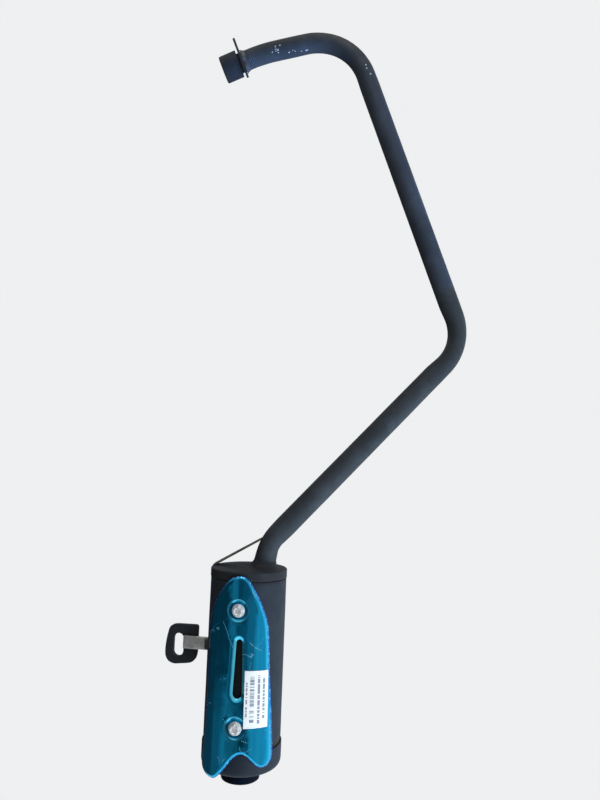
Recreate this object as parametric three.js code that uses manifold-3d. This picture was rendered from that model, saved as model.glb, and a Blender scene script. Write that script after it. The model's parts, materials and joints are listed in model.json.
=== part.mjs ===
// Small-bore kart and quad exhaust: a bent header pipe welded into a round silencer
// that carries a formed heat shield and a removable spark arrestor.
//
// Units are millimetres, +Z up.
// The origin is the middle of the inlet flange's outer face, with +Z along the spigot, out of the pipe.
// -X runs back to the silencer, and -Y is the outboard side, which the heat shield faces.
import * as THREE from "three";
import { mergeVertices } from "three/addons/utils/BufferGeometryUtils.js";
import Module from "manifold-3d";

const wasm = await Module();
wasm.setup();

// ---------------------------------------------------------------- driving dimensions

const GAP = 0.3; // clearance left between pieces that touch

// Header pipe
const PIPE_R = 12.7;
const PIPE_WALL = 1.6;
const PIPE_SIDES = 20;
const BEND_AT_PORT = new THREE.Vector3(0, 0, -30);
const BEND_TOP = new THREE.Vector3(-37.5, -17, -146.5);
const BEND_LOW = new THREE.Vector3(-471.5, -2, -134.5);
const PORT_BEND_R = 120;
const TOP_BEND_R = 82;
const LOW_BEND_R = 62;
const NECK_BEND_R = 40;

// Inlet spigot and flange
const SPIGOT_R = 17.4;
const SPIGOT_LENGTH = 24;
const GROOVE = 2.6; // bare pipe between the flange and the spigot
const FLANGE_THICK = 3;
const STUD_CIRCLE_R = 23;
const STUD_HOLE_R = 3.4;
const FLANGE_CORNER_R = 8;
const FLANGE_TURN = THREE.MathUtils.degToRad(-36); // the upper stud's direction from +X

// Silencer: its own frame has z along the axis to the rear, x up and y inboard.
// It starts on the axis, a little behind the seam between front cap and body.
const SILENCER_AT = new THREE.Vector3(-648.5, -64, 197.5);
const SILENCER_RISE = THREE.MathUtils.degToRad(21.7);
const BODY_R = 43;
const BODY_LENGTH = 168;
const SHEET = 1.5;
const FRONT_SEAM = -4;
const FRONT_RIM = 13;
const DOME_RISE = 4.5;
const CRIMP_BAND = 4.6;
const REAR_CAP_R = 44.2;
const REAR_END = 197;
const NECK_CORNER = { along: -43, up: -22.5 };
const NECK_END = { along: 8, up: -11.5 };
const CAP_LIP = 6; // how far the front cap's lip reaches into the body

// Stay between the front cap's upper edge and the side of the neck
const STAY = { thick: 2, width: 14, footUp: 38.5, footAlong: -16.5, headUp: -13.5, headAlong: -47 };

// Baffles and tubes inside the silencer
const BAFFLES = { front: 62, rear: 114 };
const BAFFLE_THICK = 1.5;
const DIFFUSER_LENGTH = 70;
const TUBE_WALL = 1.2;
const RETURN_TUBE = { up: 24, y: -12, from: 44, to: 82, radius: 8 };
const TRANSFER_TUBE = { up: -10, y: 27, from: 40, to: 134, radius: 9 };

// Tail outlet and spark arrestor
const TAIL_R = 21.4;
const TAIL_WALL = 1.5;
const TAIL_END = 213;
const TAIL_START = 176;
const COLLAR_R = 19.5;
const COLLAR_WALL = 1.6;
const COLLAR_START = 189;
const SCREEN_R = 16.4;
const SCREEN_WALL = 0.9;
const SCREEN_START = 128;
const ARRESTOR_SCREW_AT = 206.5;
const ARRESTOR_SCREW = { shank: 2.4, head: 4.6, tip: 18.5, slot: 1.2 };

// Heat shield, its seats and fasteners
const SHIELD_INNER_R = 46.6;
const SHIELD_THICK = 1.2;
const BOLTS = { front: { along: 25, up: -0.5 }, rear: { along: 145, up: -2.5 } };
const SEAT_OUT = 46.4; // how far the flat outer face of a bolt seat stands from the axis
const SEAT_R = 10.6;
const SEAT_HOLE_R = 3.6;
const BOLT_R = 2.9;
const BOLT_TIP = 38.5;
const HEAD = { flangeR: 6.3, flange: 1.2, acrossFlats: 10, height: 5 };
const WASHER = { outer: 7, thick: 1 };
const BOSS = { outer: 6, inner: 38 };
const LABEL = { fromUp: -33.6, toUp: -10.4, from: 87, to: 145, thick: 0.3 };

// Hanger
const HANGER_THICK = 6;
const HANGER_SLOT = { up: 78.4, from: 64.5, to: 90, r: 5.9 };
const STRAP = { from: 66, to: 80, thick: 3, inner: 30, outer: 72 };

// ---------------------------------------------------------------- materials

function material(color, roughness, metalness) {
  return new THREE.MeshStandardMaterial({ color, roughness, metalness });
}

const blackPaint = material(0x2b2e33, 0.6, 0.3);
const rawSteel = material(0x8d8a83, 0.55, 0.9);
const weldMetal = material(0x35373b, 0.65, 0.5);
const blueChrome = material(0x0f8fb8, 0.12, 1);
const zinc = material(0xd5d7d8, 0.25, 1);
const paper = material(0xf4f4f1, 0.8, 0);

// ---------------------------------------------------------------- solids

// A closed geometry as a manifold-3d solid.
function solid(geometry) {
  const bare = geometry.index ? geometry.toNonIndexed() : geometry.clone();
  bare.deleteAttribute("normal");
  bare.deleteAttribute("uv");
  const merged = mergeVertices(bare, 1e-4);
  return new wasm.Manifold(
    new wasm.Mesh({
      numProp: 3,
      vertProperties: merged.attributes.position.array,
      triVerts: new Uint32Array(merged.index.array),
    }),
  );
}

function geometryOf(body) {
  const mesh = body.getMesh();
  const geometry = new THREE.BufferGeometry();
  geometry.setAttribute("position", new THREE.BufferAttribute(mesh.vertProperties, 3));
  geometry.setIndex(new THREE.BufferAttribute(mesh.triVerts, 1));
  geometry.computeVertexNormals();
  return geometry;
}

// A body turned about z. The profile lists [radius, height] points anticlockwise,
// and it is closed here unless it starts and ends on the axis.
function revolve(profile, segments = 36) {
  const points = profile.map(([radius, height]) => new THREE.Vector2(radius, height));
  const onAxis = profile[0][0] === 0 && profile[profile.length - 1][0] === 0;
  if (!onAxis) points.push(points[0].clone());
  return new THREE.LatheGeometry(points, segments).rotateX(Math.PI / 2);
}

function ring(inner, outer, from, to, segments = 36) {
  return revolve(
    [
      [inner, from],
      [outer, from],
      [outer, to],
      [inner, to],
    ],
    segments,
  );
}

function rod(radius, from, to, segments = 24) {
  return revolve(
    [
      [0, from],
      [radius, from],
      [radius, to],
      [0, to],
    ],
    segments,
  );
}

// Turns a body made about z so that its z axis lies along the given direction, and places it.
function aim(geometry, position, direction) {
  const turn = new THREE.Quaternion().setFromUnitVectors(
    new THREE.Vector3(0, 0, 1),
    direction.clone().normalize(),
  );
  return geometry.applyQuaternion(turn).translate(position.x, position.y, position.z);
}

function block(x0, x1, y0, y1, z0, z1) {
  const box = new THREE.BoxGeometry(x1 - x0, y1 - y0, z1 - z0);
  return box.translate((x0 + x1) / 2, (y0 + y1) / 2, (z0 + z1) / 2);
}

const exhaust = new THREE.Group();
exhaust.name = "exhaust_system";

const silencer = new THREE.Group();
silencer.position.copy(SILENCER_AT);
silencer.rotation.y = SILENCER_RISE - Math.PI / 2;
exhaust.add(silencer);

function add(parent, name, geometry, look) {
  const mesh = new THREE.Mesh(geometry, look);
  mesh.name = name;
  parent.add(mesh);
}

silencer.updateMatrixWorld(true);

// A point of the silencer's centre plane, in the part's frame.
function silencerPoint({ along, up }) {
  return silencer.localToWorld(new THREE.Vector3(up, 0, along));
}

// ---------------------------------------------------------------- header pipe

// Straight runs joined by round bends. A straight run is one step and a bend is several.
class BentRoute extends THREE.Curve {
  constructor(corners) {
    super();
    this.legs = [];
    let from = corners[0].at;
    for (let i = 1; i < corners.length - 1; i += 1) {
      const { at, radius, steps } = corners[i];
      const before = at.clone().sub(corners[i - 1].at).normalize();
      const after = corners[i + 1].at.clone().sub(at).normalize();
      const turn = before.angleTo(after);
      const cut = radius * Math.tan(turn / 2);
      const start = at.clone().addScaledVector(before, -cut);
      const inward = after.clone().addScaledVector(before, -before.dot(after)).normalize();
      this.legs.push({ start: from, end: start, steps: 1 });
      this.legs.push({ start, before, inward, radius, turn, steps });
      from = at.clone().addScaledVector(after, cut);
    }
    this.legs.push({ start: from, end: corners[corners.length - 1].at, steps: 1 });
    this.steps = this.legs.reduce((sum, leg) => sum + leg.steps, 0);
  }

  getPoint(t, target = new THREE.Vector3()) {
    let left = t * this.steps;
    let leg = this.legs[0];
    for (leg of this.legs) {
      if (left <= leg.steps) break;
      left -= leg.steps;
    }
    const part = Math.min(left / leg.steps, 1);
    if (leg.end) return target.lerpVectors(leg.start, leg.end, part);
    const angle = leg.turn * part;
    return target
      .copy(leg.start)
      .addScaledVector(leg.before, leg.radius * Math.sin(angle))
      .addScaledVector(leg.inward, leg.radius * (1 - Math.cos(angle)));
  }

  getPointAt(u, target) {
    return this.getPoint(u, target);
  }

  getTangentAt(u, target) {
    return this.getTangent(u, target);
  }
}

const neckCorner = silencerPoint(NECK_CORNER);
const neckEnd = silencerPoint(NECK_END);
const route = new BentRoute([
  { at: new THREE.Vector3(0, 0, GROOVE + SPIGOT_LENGTH - 2) },
  { at: BEND_AT_PORT, radius: PORT_BEND_R, steps: 3 },
  { at: BEND_TOP, radius: TOP_BEND_R, steps: 9 },
  { at: BEND_LOW, radius: LOW_BEND_R, steps: 8 },
  { at: neckCorner, radius: NECK_BEND_R, steps: 4 },
  { at: neckEnd },
]);

function alongRoute(radius, bore) {
  const section = new THREE.Shape().absarc(0, 0, radius, 0, 2 * Math.PI);
  if (bore) section.holes.push(new THREE.Path().absarc(0, 0, bore, 0, 2 * Math.PI, true));
  return new THREE.ExtrudeGeometry(section, {
    steps: route.steps,
    curveSegments: PIPE_SIDES / 2,
    extrudePath: route,
  });
}

add(exhaust, "header_pipe", alongRoute(PIPE_R, PIPE_R - PIPE_WALL), blackPaint);

// ---------------------------------------------------------------- inlet

const spigotEnd = GROOVE + SPIGOT_LENGTH;
const spigotBore = PIPE_R + GAP;
add(
  exhaust,
  "inlet_spigot",
  revolve([
    [spigotBore, GROOVE],
    [SPIGOT_R - 0.6, GROOVE],
    [SPIGOT_R, GROOVE + 0.6],
    [SPIGOT_R, spigotEnd - 3],
    [SPIGOT_R - 0.9, spigotEnd - 0.9],
    [SPIGOT_R - 2.4, spigotEnd],
    [spigotBore, spigotEnd],
  ]),
  blackPaint,
);

// A rounded triangle with a stud hole near each corner.
function flangeShape() {
  const shape = new THREE.Shape();
  for (let i = 0; i < 3; i += 1) {
    const angle = (i * 2 * Math.PI) / 3;
    const x = STUD_CIRCLE_R * Math.cos(angle);
    const y = STUD_CIRCLE_R * Math.sin(angle);
    shape.absarc(x, y, FLANGE_CORNER_R, angle - Math.PI / 3, angle + Math.PI / 3);
    shape.holes.push(new THREE.Path().absarc(x, y, STUD_HOLE_R, 0, 2 * Math.PI, true));
  }
  shape.closePath();
  shape.holes.push(new THREE.Path().absarc(0, 0, spigotBore, 0, 2 * Math.PI, true));
  return shape;
}

const flange = new THREE.ExtrudeGeometry(flangeShape(), {
  depth: FLANGE_THICK,
  bevelEnabled: false,
  curveSegments: 12,
});
flange.translate(0, 0, -FLANGE_THICK).rotateZ(FLANGE_TURN);
add(exhaust, "inlet_flange", flange, blackPaint);

const weldBack = -FLANGE_THICK - GAP;
add(
  exhaust,
  "inlet_flange_weld",
  revolve([
    [spigotBore, weldBack - 5.6],
    [13.4, weldBack - 4.4],
    [14, weldBack - 2.6],
    [15, weldBack - 1],
    [16, weldBack],
    [spigotBore, weldBack],
  ]),
  weldMetal,
);

// ---------------------------------------------------------------- silencer casing

// The dome of the front cap from its rim to the axis, moved out by the given offset.
function domeProfile(offset) {
  const rimR = BODY_R + 0.4 + offset;
  const front = -FRONT_RIM - offset;
  return [
    [rimR, front],
    [rimR - 0.8, front - 0.9],
    [rimR - 5.4, front - 1.7],
    [rimR - 17.4, front - 2.9],
    [0, front - DOME_RISE],
  ];
}

const toSilencer = silencer.matrixWorld.clone().invert();
const neckAxis = neckEnd.clone().sub(neckCorner).transformDirection(toSilencer);
const neckStart = new THREE.Vector3(NECK_CORNER.up, 0, NECK_CORNER.along);
const neckLength = neckEnd.distanceTo(neckCorner);

function aroundNeck(geometry) {
  return aim(geometry, neckStart, neckAxis);
}

const lip = BODY_R - SHEET - GAP;
const frontCup = revolve([
  ...domeProfile(0).reverse(),
  [BODY_R + 0.4, FRONT_SEAM],
  [lip, FRONT_SEAM],
  [lip, FRONT_SEAM + CAP_LIP],
  [lip - SHEET, FRONT_SEAM + CAP_LIP],
  [lip - SHEET, -FRONT_RIM + 1],
  ...domeProfile(-SHEET).slice(2),
]);
const neckHole = aroundNeck(rod(PIPE_R + GAP, 0, neckLength + 10, 28));
add(silencer, "front_cap", geometryOf(solid(frontCup).subtract(solid(neckHole))), blackPaint);

// A fillet round the neck that follows the dome.
const neckFillet = aroundNeck(
  revolve(
    [
      [PIPE_R + GAP, 20.5],
      [14.4, 21.5],
      [15.8, 24],
      [17.6, 27],
      [19.5, 31],
      [19.5, 40],
      [PIPE_R + GAP, 40],
    ],
    28,
  ),
);
const domeBlank = revolve([...domeProfile(GAP).reverse(), [BODY_R + 2, 60], [0, 60]]);
add(silencer, "neck_weld", geometryOf(solid(neckFillet).subtract(solid(domeBlank))), weldMetal);

// A flat stay from the cap's upper edge to the side of the neck.
const stayRun = new THREE.Vector2(STAY.headUp - STAY.footUp, STAY.headAlong - STAY.footAlong);
const stay = block(0, stayRun.length(), -STAY.width / 2, STAY.width / 2, -STAY.thick / 2, STAY.thick / 2);
stay.rotateY(-stayRun.angle()).translate(STAY.footUp, 0, STAY.footAlong);
const pipeBlank = alongRoute(PIPE_R + GAP, 0).applyMatrix4(toSilencer);
add(
  silencer,
  "neck_stay",
  geometryOf(solid(stay).subtract(solid(domeBlank)).subtract(solid(pipeBlank))),
  rawSteel,
);

// A piece of the silencer that faces outboard: made about z, then turned to point along -y.
function outboard(geometry, { along, up }) {
  return geometry.rotateX(Math.PI / 2).translate(up, 0, along);
}

let shell = solid(ring(BODY_R - SHEET, BODY_R, FRONT_SEAM + GAP, BODY_LENGTH, 48));
for (const place of Object.values(BOLTS)) {
  shell = shell.subtract(solid(outboard(rod(BOSS.outer + GAP, 30, 50), place)));
}
add(silencer, "body_shell", geometryOf(shell), blackPaint);

const bandEnd = BODY_LENGTH + CRIMP_BAND;
add(
  silencer,
  "crimp_band",
  revolve([
    [BODY_R - 5, BODY_LENGTH + GAP],
    [BODY_R - 0.6, BODY_LENGTH + GAP],
    [BODY_R - 1.4, BODY_LENGTH + CRIMP_BAND / 2],
    [BODY_R - 0.6, bandEnd - GAP],
    [BODY_R - 5, bandEnd - GAP],
  ]),
  rawSteel,
);

add(
  silencer,
  "rear_cap",
  revolve(
    [
      [TAIL_R + GAP, REAR_END - SHEET],
      [REAR_CAP_R - 7, REAR_END - SHEET],
      [REAR_CAP_R - 3, REAR_END - 3.6],
      [REAR_CAP_R - SHEET, REAR_END - 7.6],
      [REAR_CAP_R - SHEET, bandEnd + SHEET],
      [BODY_R - 5, bandEnd + SHEET],
      [BODY_R - 5, bandEnd],
      [REAR_CAP_R, bandEnd],
      [REAR_CAP_R, REAR_END - 7],
      [REAR_CAP_R - 1.8, REAR_END - 2.6],
      [REAR_CAP_R - 6, REAR_END],
      [TAIL_R + GAP, REAR_END],
    ],
    48,
  ),
  blackPaint,
);

// ---------------------------------------------------------------- tail outlet

const inboard = new THREE.Vector3(0, 1, 0);
const screwAt = new THREE.Vector3(0, 0, ARRESTOR_SCREW_AT);
const tailScrewHole = aim(rod(ARRESTOR_SCREW.shank + GAP, 10, 30, 16), screwAt, inboard);
const tailTube = ring(TAIL_R - TAIL_WALL, TAIL_R, TAIL_START, TAIL_END);
add(silencer, "tail_outlet", geometryOf(solid(tailTube).subtract(solid(tailScrewHole))), blackPaint);

add(
  silencer,
  "tail_weld",
  revolve([
    [TAIL_R + GAP, REAR_END + GAP],
    [26, REAR_END + GAP],
    [24.4, REAR_END + 1],
    [23, REAR_END + 2.2],
    [TAIL_R + GAP, REAR_END + 3.8],
  ]),
  weldMetal,
);

// The collar has a slot, open at its inner end, that slides past the retaining screw.
const collarTube = ring(COLLAR_R - COLLAR_WALL, COLLAR_R, COLLAR_START, TAIL_END - 1.5);
const slotHalf = ARRESTOR_SCREW.shank + 0.4;
const collarSlot = block(-slotHalf, slotHalf, 10, 30, COLLAR_START - 5, ARRESTOR_SCREW_AT + slotHalf);
add(silencer, "arrestor_collar", geometryOf(solid(collarTube).subtract(solid(collarSlot))), rawSteel);

// A closed-ended screen cup, its open end inside the collar.
const screenEnd = COLLAR_START + 6;
const screenRim = COLLAR_R - COLLAR_WALL - GAP;
add(
  silencer,
  "arrestor_screen",
  revolve(
    [
      [0, SCREEN_START],
      [SCREEN_R, SCREEN_START],
      [SCREEN_R, screenEnd - 2],
      [screenRim, screenEnd - 2],
      [screenRim, screenEnd],
      [SCREEN_R - SCREEN_WALL, screenEnd],
      [SCREEN_R - SCREEN_WALL, SCREEN_START + SCREEN_WALL],
      [0, SCREEN_START + SCREEN_WALL],
    ],
    28,
  ),
  rawSteel,
);

const screwHead = revolve(
  [
    [0, ARRESTOR_SCREW.tip],
    [ARRESTOR_SCREW.shank, ARRESTOR_SCREW.tip],
    [ARRESTOR_SCREW.shank, TAIL_R + GAP],
    [ARRESTOR_SCREW.head, TAIL_R + GAP],
    [ARRESTOR_SCREW.head, TAIL_R + 1.8],
    [ARRESTOR_SCREW.head - 1.4, TAIL_R + 3],
    [0, TAIL_R + 3.2],
  ],
  16,
);
const driverHalf = ARRESTOR_SCREW.slot / 2;
const driverSlot = block(-driverHalf, driverHalf, -6, 6, TAIL_R + 1.9, TAIL_R + 5);
add(
  silencer,
  "arrestor_screw",
  aim(geometryOf(solid(screwHead).subtract(solid(driverSlot))), screwAt, inboard),
  zinc,
);

// ---------------------------------------------------------------- inside the silencer

function tubeBlank({ up, y, from, to, radius }) {
  return rod(radius, from, to, 18).translate(up, y, 0);
}

const diffuserFrom = neckLength + 1;
const diffuserTo = diffuserFrom + DIFFUSER_LENGTH;

function baffle(along) {
  let plate = solid(rod(lip, along, along + BAFFLE_THICK, 36));
  for (const tube of [RETURN_TUBE, TRANSFER_TUBE]) {
    plate = plate.subtract(solid(tubeBlank({ ...tube, radius: tube.radius + GAP })));
  }
  return plate.subtract(solid(aroundNeck(rod(PIPE_R + GAP, diffuserFrom, diffuserTo, 24))));
}

add(silencer, "front_baffle", geometryOf(baffle(BAFFLES.front)), rawSteel);
add(silencer, "rear_baffle", geometryOf(baffle(BAFFLES.rear)), rawSteel);
add(
  silencer,
  "inlet_diffuser",
  aroundNeck(ring(PIPE_R - PIPE_WALL, PIPE_R, diffuserFrom, diffuserTo, 24)),
  rawSteel,
);
for (const [name, tube] of Object.entries({ return_tube: RETURN_TUBE, transfer_tube: TRANSFER_TUBE })) {
  const outline = ring(tube.radius - TUBE_WALL, tube.radius, tube.from, tube.to, 18);
  add(silencer, name, outline.translate(tube.up, tube.y, 0), rawSteel);
}

// ---------------------------------------------------------------- heat shield

// A blunt pointed arch in front, sides that widen to the rear, and a swallow tail cut on a slant.
function shieldOutline() {
  const shape = new THREE.Shape();
  shape.moveTo(-2, -10.8);
  shape.bezierCurveTo(3, -10.8, 6.5, -9.5, 10, -7);
  shape.bezierCurveTo(14.5, -3, 20, 4.5, 24, 11.5);
  shape.bezierCurveTo(30, 21.5, 33.6, 33, 34, 48);
  shape.bezierCurveTo(34.2, 80, 32.6, 115, 34, 150);
  shape.bezierCurveTo(35, 165, 36.2, 175, 36.8, 188);
  shape.bezierCurveTo(37, 196, 30, 199, 22, 199);
  shape.bezierCurveTo(17.5, 198.9, 13.5, 194, 9, 188.6);
  shape.bezierCurveTo(4, 182.5, -1.5, 171.3, -9.5, 171);
  shape.bezierCurveTo(-14.5, 171, -18, 176, -23.5, 181.9);
  shape.bezierCurveTo(-30.5, 189.5, -39.4, 187, -39.2, 174);
  shape.bezierCurveTo(-38.5, 150, -36, 115, -34.2, 88);
  shape.bezierCurveTo(-33.2, 72, -33.4, 55, -31.3, 41.5);
  shape.bezierCurveTo(-29.5, 29, -22, 11, -14.5, -1);
  shape.bezierCurveTo(-11.5, -5.8, -8, -10.8, -2, -10.8);
  return shape;
}

// A tapered slot with round ends.
function slotOutline() {
  const shape = new THREE.Shape();
  shape.absarc(-2.8, 58, 3.1, Math.PI, 2 * Math.PI);
  shape.absarc(-2.8, 110.5, 5, 0, Math.PI);
  shape.closePath();
  return shape;
}

// Extrudes an outline drawn in (up, along) through the outboard side.
function throughOutboard(shape, curveSegments) {
  const prism = new THREE.ExtrudeGeometry(shape, { depth: 60, bevelEnabled: false, curveSegments });
  return prism.rotateX(Math.PI / 2);
}

const shieldOuterR = SHIELD_INNER_R + SHIELD_THICK;
const shieldTube = solid(ring(SHIELD_INNER_R, shieldOuterR, -15, 205, 72));
const withinShield = solid(rod(shieldOuterR, -15, 205, 72));
let shield = shieldTube.intersect(solid(throughOutboard(shieldOutline(), 6)));
shield = shield.subtract(solid(throughOutboard(slotOutline(), 6)));
const seatIn = SEAT_OUT - SHIELD_THICK;
for (const place of Object.values(BOLTS)) {
  shield = shield.subtract(solid(outboard(rod(SEAT_R - SHIELD_THICK, 40, 60), place)));
  const seat = revolve([
    [SEAT_HOLE_R, seatIn],
    [SEAT_R, seatIn],
    [SEAT_R, shieldOuterR + 1],
    [SEAT_R - SHIELD_THICK, shieldOuterR + 1],
    [SEAT_R - SHIELD_THICK, SEAT_OUT],
    [SEAT_HOLE_R, SEAT_OUT],
  ]);
  shield = shield.add(solid(outboard(seat, place)).intersect(withinShield));
}
add(silencer, "heat_shield", geometryOf(shield), blueChrome);

const labelInnerR = shieldOuterR + GAP;
const labelTube = solid(ring(labelInnerR, labelInnerR + LABEL.thick, LABEL.from, LABEL.to, 72));
const labelBlock = solid(block(LABEL.fromUp, LABEL.toUp, -60, 0, LABEL.from - 1, LABEL.to + 1));
add(silencer, "label", geometryOf(labelTube.intersect(labelBlock)), paper);

// ---------------------------------------------------------------- shield fasteners

const washerIn = SEAT_OUT + GAP;
const washerOut = washerIn + WASHER.thick;
const headIn = washerOut + GAP;

function boltGeometry() {
  const hexRadius = HEAD.acrossFlats / 2 / Math.cos(Math.PI / 6);
  const stem = revolve(
    [
      [0, BOLT_TIP],
      [BOLT_R - 0.8, BOLT_TIP],
      [BOLT_R, BOLT_TIP + 0.9],
      [BOLT_R, headIn],
      [HEAD.flangeR, headIn],
      [HEAD.flangeR, headIn + HEAD.flange],
      [0, headIn + HEAD.flange],
    ],
    24,
  );
  const hex = new THREE.CylinderGeometry(hexRadius, hexRadius, HEAD.height, 6);
  hex.rotateX(Math.PI / 2).translate(0, 0, headIn + HEAD.height / 2);
  const crown = revolve(
    [
      [0, headIn],
      [hexRadius + 0.6, headIn],
      [hexRadius + 0.6, headIn + HEAD.height - 1],
      [HEAD.acrossFlats / 2 - 0.3, headIn + HEAD.height],
      [0, headIn + HEAD.height],
    ],
    24,
  );
  return geometryOf(solid(stem).add(solid(hex).intersect(solid(crown))));
}

for (const [end, place] of Object.entries(BOLTS)) {
  const boss = ring(BOLT_R + GAP, BOSS.outer, BOSS.inner, seatIn - GAP, 20);
  add(silencer, `shield_boss_${end}`, outboard(boss, place), rawSteel);
  const washer = ring(BOLT_R + GAP, WASHER.outer, washerIn, washerOut, 20);
  add(silencer, `shield_washer_${end}`, outboard(washer, place), zinc);
  add(silencer, `shield_bolt_${end}`, outboard(boltGeometry(), place), zinc);
}

// ---------------------------------------------------------------- hanger

// A D-shaped plate, round on its outer side, with an oblong slot.
function hangerShape() {
  const shape = new THREE.Shape();
  shape.moveTo(56, 58);
  shape.quadraticCurveTo(55.8, 54.4, 59, 54.2);
  shape.lineTo(80, 54.5);
  shape.bezierCurveTo(87, 54.8, 90, 57, 91, 62);
  shape.bezierCurveTo(93, 70, 94, 78, 94, 85);
  shape.bezierCurveTo(94, 93, 90, 98.7, 81, 98.7);
  shape.lineTo(67, 97);
  shape.bezierCurveTo(60, 96.5, 56.5, 92, 56, 84);
  shape.closePath();
  const { up, from, to, r } = HANGER_SLOT;
  const slot = new THREE.Path();
  slot.absarc(up, from + r, r, Math.PI, 2 * Math.PI);
  slot.absarc(up, to - r, r, 0, Math.PI);
  slot.closePath();
  shape.holes.push(slot);
  return shape;
}

const hanger = new THREE.ExtrudeGeometry(hangerShape(), {
  depth: HANGER_THICK,
  bevelEnabled: false,
  curveSegments: 5,
});
hanger.rotateX(Math.PI / 2).translate(0, HANGER_THICK / 2, 0);
add(silencer, "hanger_plate", hanger, blackPaint);

// A bare strap on the plate's outboard face, welded to the body at its other end.
const strapTop = -HANGER_THICK / 2 - GAP;
const strapFace = strapTop - STRAP.thick;
const shellBlank = solid(rod(BODY_R + GAP, FRONT_SEAM, BODY_LENGTH, 48));
const strap = solid(block(STRAP.inner, STRAP.outer, strapFace, strapTop, STRAP.from, STRAP.to));
add(silencer, "hanger_strap", geometryOf(strap.subtract(shellBlank)), rawSteel);
const strapFillet = new THREE.Shape([
  new THREE.Vector2(38, strapFace - GAP),
  new THREE.Vector2(47, strapFace - GAP),
  new THREE.Vector2(38, strapFace - 9),
]);
const strapWeld = new THREE.ExtrudeGeometry(strapFillet, {
  depth: STRAP.to - STRAP.from - 1,
  bevelEnabled: false,
});
strapWeld.translate(0, 0, STRAP.from + 0.5);
add(silencer, "hanger_weld", geometryOf(solid(strapWeld).subtract(shellBlank)), weldMetal);

export default exhaust;
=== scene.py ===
"""Looks of a small kart exhaust: header pipe, silencer, blue heat shield, hanger and spark arrestor."""

import json
import math
import random

import bmesh
import bpy
from mathutils import Matrix, Vector, noise
from mathutils.geometry import delaunay_2d_cdt
from mathutils.kdtree import KDTree


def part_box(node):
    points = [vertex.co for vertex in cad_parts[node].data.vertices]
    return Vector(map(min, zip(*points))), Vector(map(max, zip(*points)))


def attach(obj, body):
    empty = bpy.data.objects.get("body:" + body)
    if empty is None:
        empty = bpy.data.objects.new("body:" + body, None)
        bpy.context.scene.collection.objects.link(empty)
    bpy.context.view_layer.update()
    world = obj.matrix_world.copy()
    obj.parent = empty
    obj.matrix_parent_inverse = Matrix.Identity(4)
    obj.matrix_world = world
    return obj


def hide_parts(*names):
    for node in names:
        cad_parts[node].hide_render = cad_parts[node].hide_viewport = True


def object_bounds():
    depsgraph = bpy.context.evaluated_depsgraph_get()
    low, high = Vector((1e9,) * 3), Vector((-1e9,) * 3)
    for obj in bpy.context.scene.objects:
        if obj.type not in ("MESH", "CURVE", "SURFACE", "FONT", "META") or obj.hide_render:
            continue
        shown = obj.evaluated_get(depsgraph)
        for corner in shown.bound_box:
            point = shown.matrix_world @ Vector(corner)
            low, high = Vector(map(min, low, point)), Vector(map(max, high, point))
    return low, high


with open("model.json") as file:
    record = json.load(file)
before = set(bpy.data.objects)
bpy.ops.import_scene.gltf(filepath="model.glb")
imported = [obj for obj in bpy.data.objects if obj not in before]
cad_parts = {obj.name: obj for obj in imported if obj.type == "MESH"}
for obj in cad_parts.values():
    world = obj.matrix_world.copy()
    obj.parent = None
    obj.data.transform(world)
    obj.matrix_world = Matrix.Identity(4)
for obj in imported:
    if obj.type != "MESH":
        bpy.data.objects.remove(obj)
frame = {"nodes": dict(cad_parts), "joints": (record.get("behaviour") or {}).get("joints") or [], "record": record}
cad_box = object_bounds()
MM = 0.001
MM_PER_M = 1000
GAP = 0.3

# ---------------------------------------------------------------- places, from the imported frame

joints = {joint["name"]: joint for joint in frame["joints"]}
axis = Vector(joints["arrestor_draw"]["axis"]).normalized()
inboard = Vector((0, 1, 0))
upward = inboard.cross(axis).normalized()
shell_low, shell_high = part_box("body_shell")
SHELL_FROM, SHELL_TO = -3.7, 168
seam = (Vector(shell_low) + Vector(shell_high)) / 2 - axis * (SHELL_FROM + SHELL_TO) / 2 * MM

# The silencer's own frame, in millimetres: x up, y inboard, z along the axis from near the front seam.
silencer_turn = Matrix((upward, inboard, axis)).transposed().to_4x4()
SILENCER = Matrix.Translation(seam) @ silencer_turn @ Matrix.Scale(MM, 4)
PART = Matrix.Scale(MM, 4)

# ---------------------------------------------------------------- dimensions, in millimetres

PIPE_R = 12.7
PIPE_BORE = 11.1
SPIGOT_R = 17.4
GROOVE = 2.6
SPIGOT_END = 26.6
FLANGE_THICK = 3
BODY_R = 43
CAP_R = 43.4
REAR_CAP_R = 44.2
REAR_START = 172.6
REAR_END = 197
TAIL_R = 21.4
TAIL_START = 176
TAIL_END = 213
SHEET = 1.5
# A profile that ends on the axis ends here, so that no face shrinks to nothing.
NEAR_AXIS = 0.02
SHIELD_R = 47.8
SHIELD_THICK = 1.2
SEAT_OUT = 46.4
BOLTS = {"front": (-0.5, 25), "rear": (-2.5, 145)}
# The shield's slot: its height, then the place along the axis and the radius of each end.
SLOT_UP = -2.8
SLOT_FRONT = (58, 3.1)
SLOT_REAR = (110.5, 5)
# Where the pipe's last corner is and where it ends inside the front cap, in the silencer's frame.
NECK_CORNER = Vector((-22.5, 0, -43))
NECK_END = Vector((-11.5, 0, 8))

# ---------------------------------------------------------------- camera

CAMERA_PLACE = (-0.588, -0.798, -0.001)
CAMERA_RIGHT = Vector((-0.3313, 0.1451, -0.9323))
CAMERA_FORWARD = Vector((0.1519, 0.9834, 0.0990))
LENS = 28.8
SENSOR = 36


def put(name, data):
    """A new object in the scene."""
    thing = bpy.data.objects.new(name, data)
    bpy.context.scene.collection.objects.link(thing)
    return thing


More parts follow.
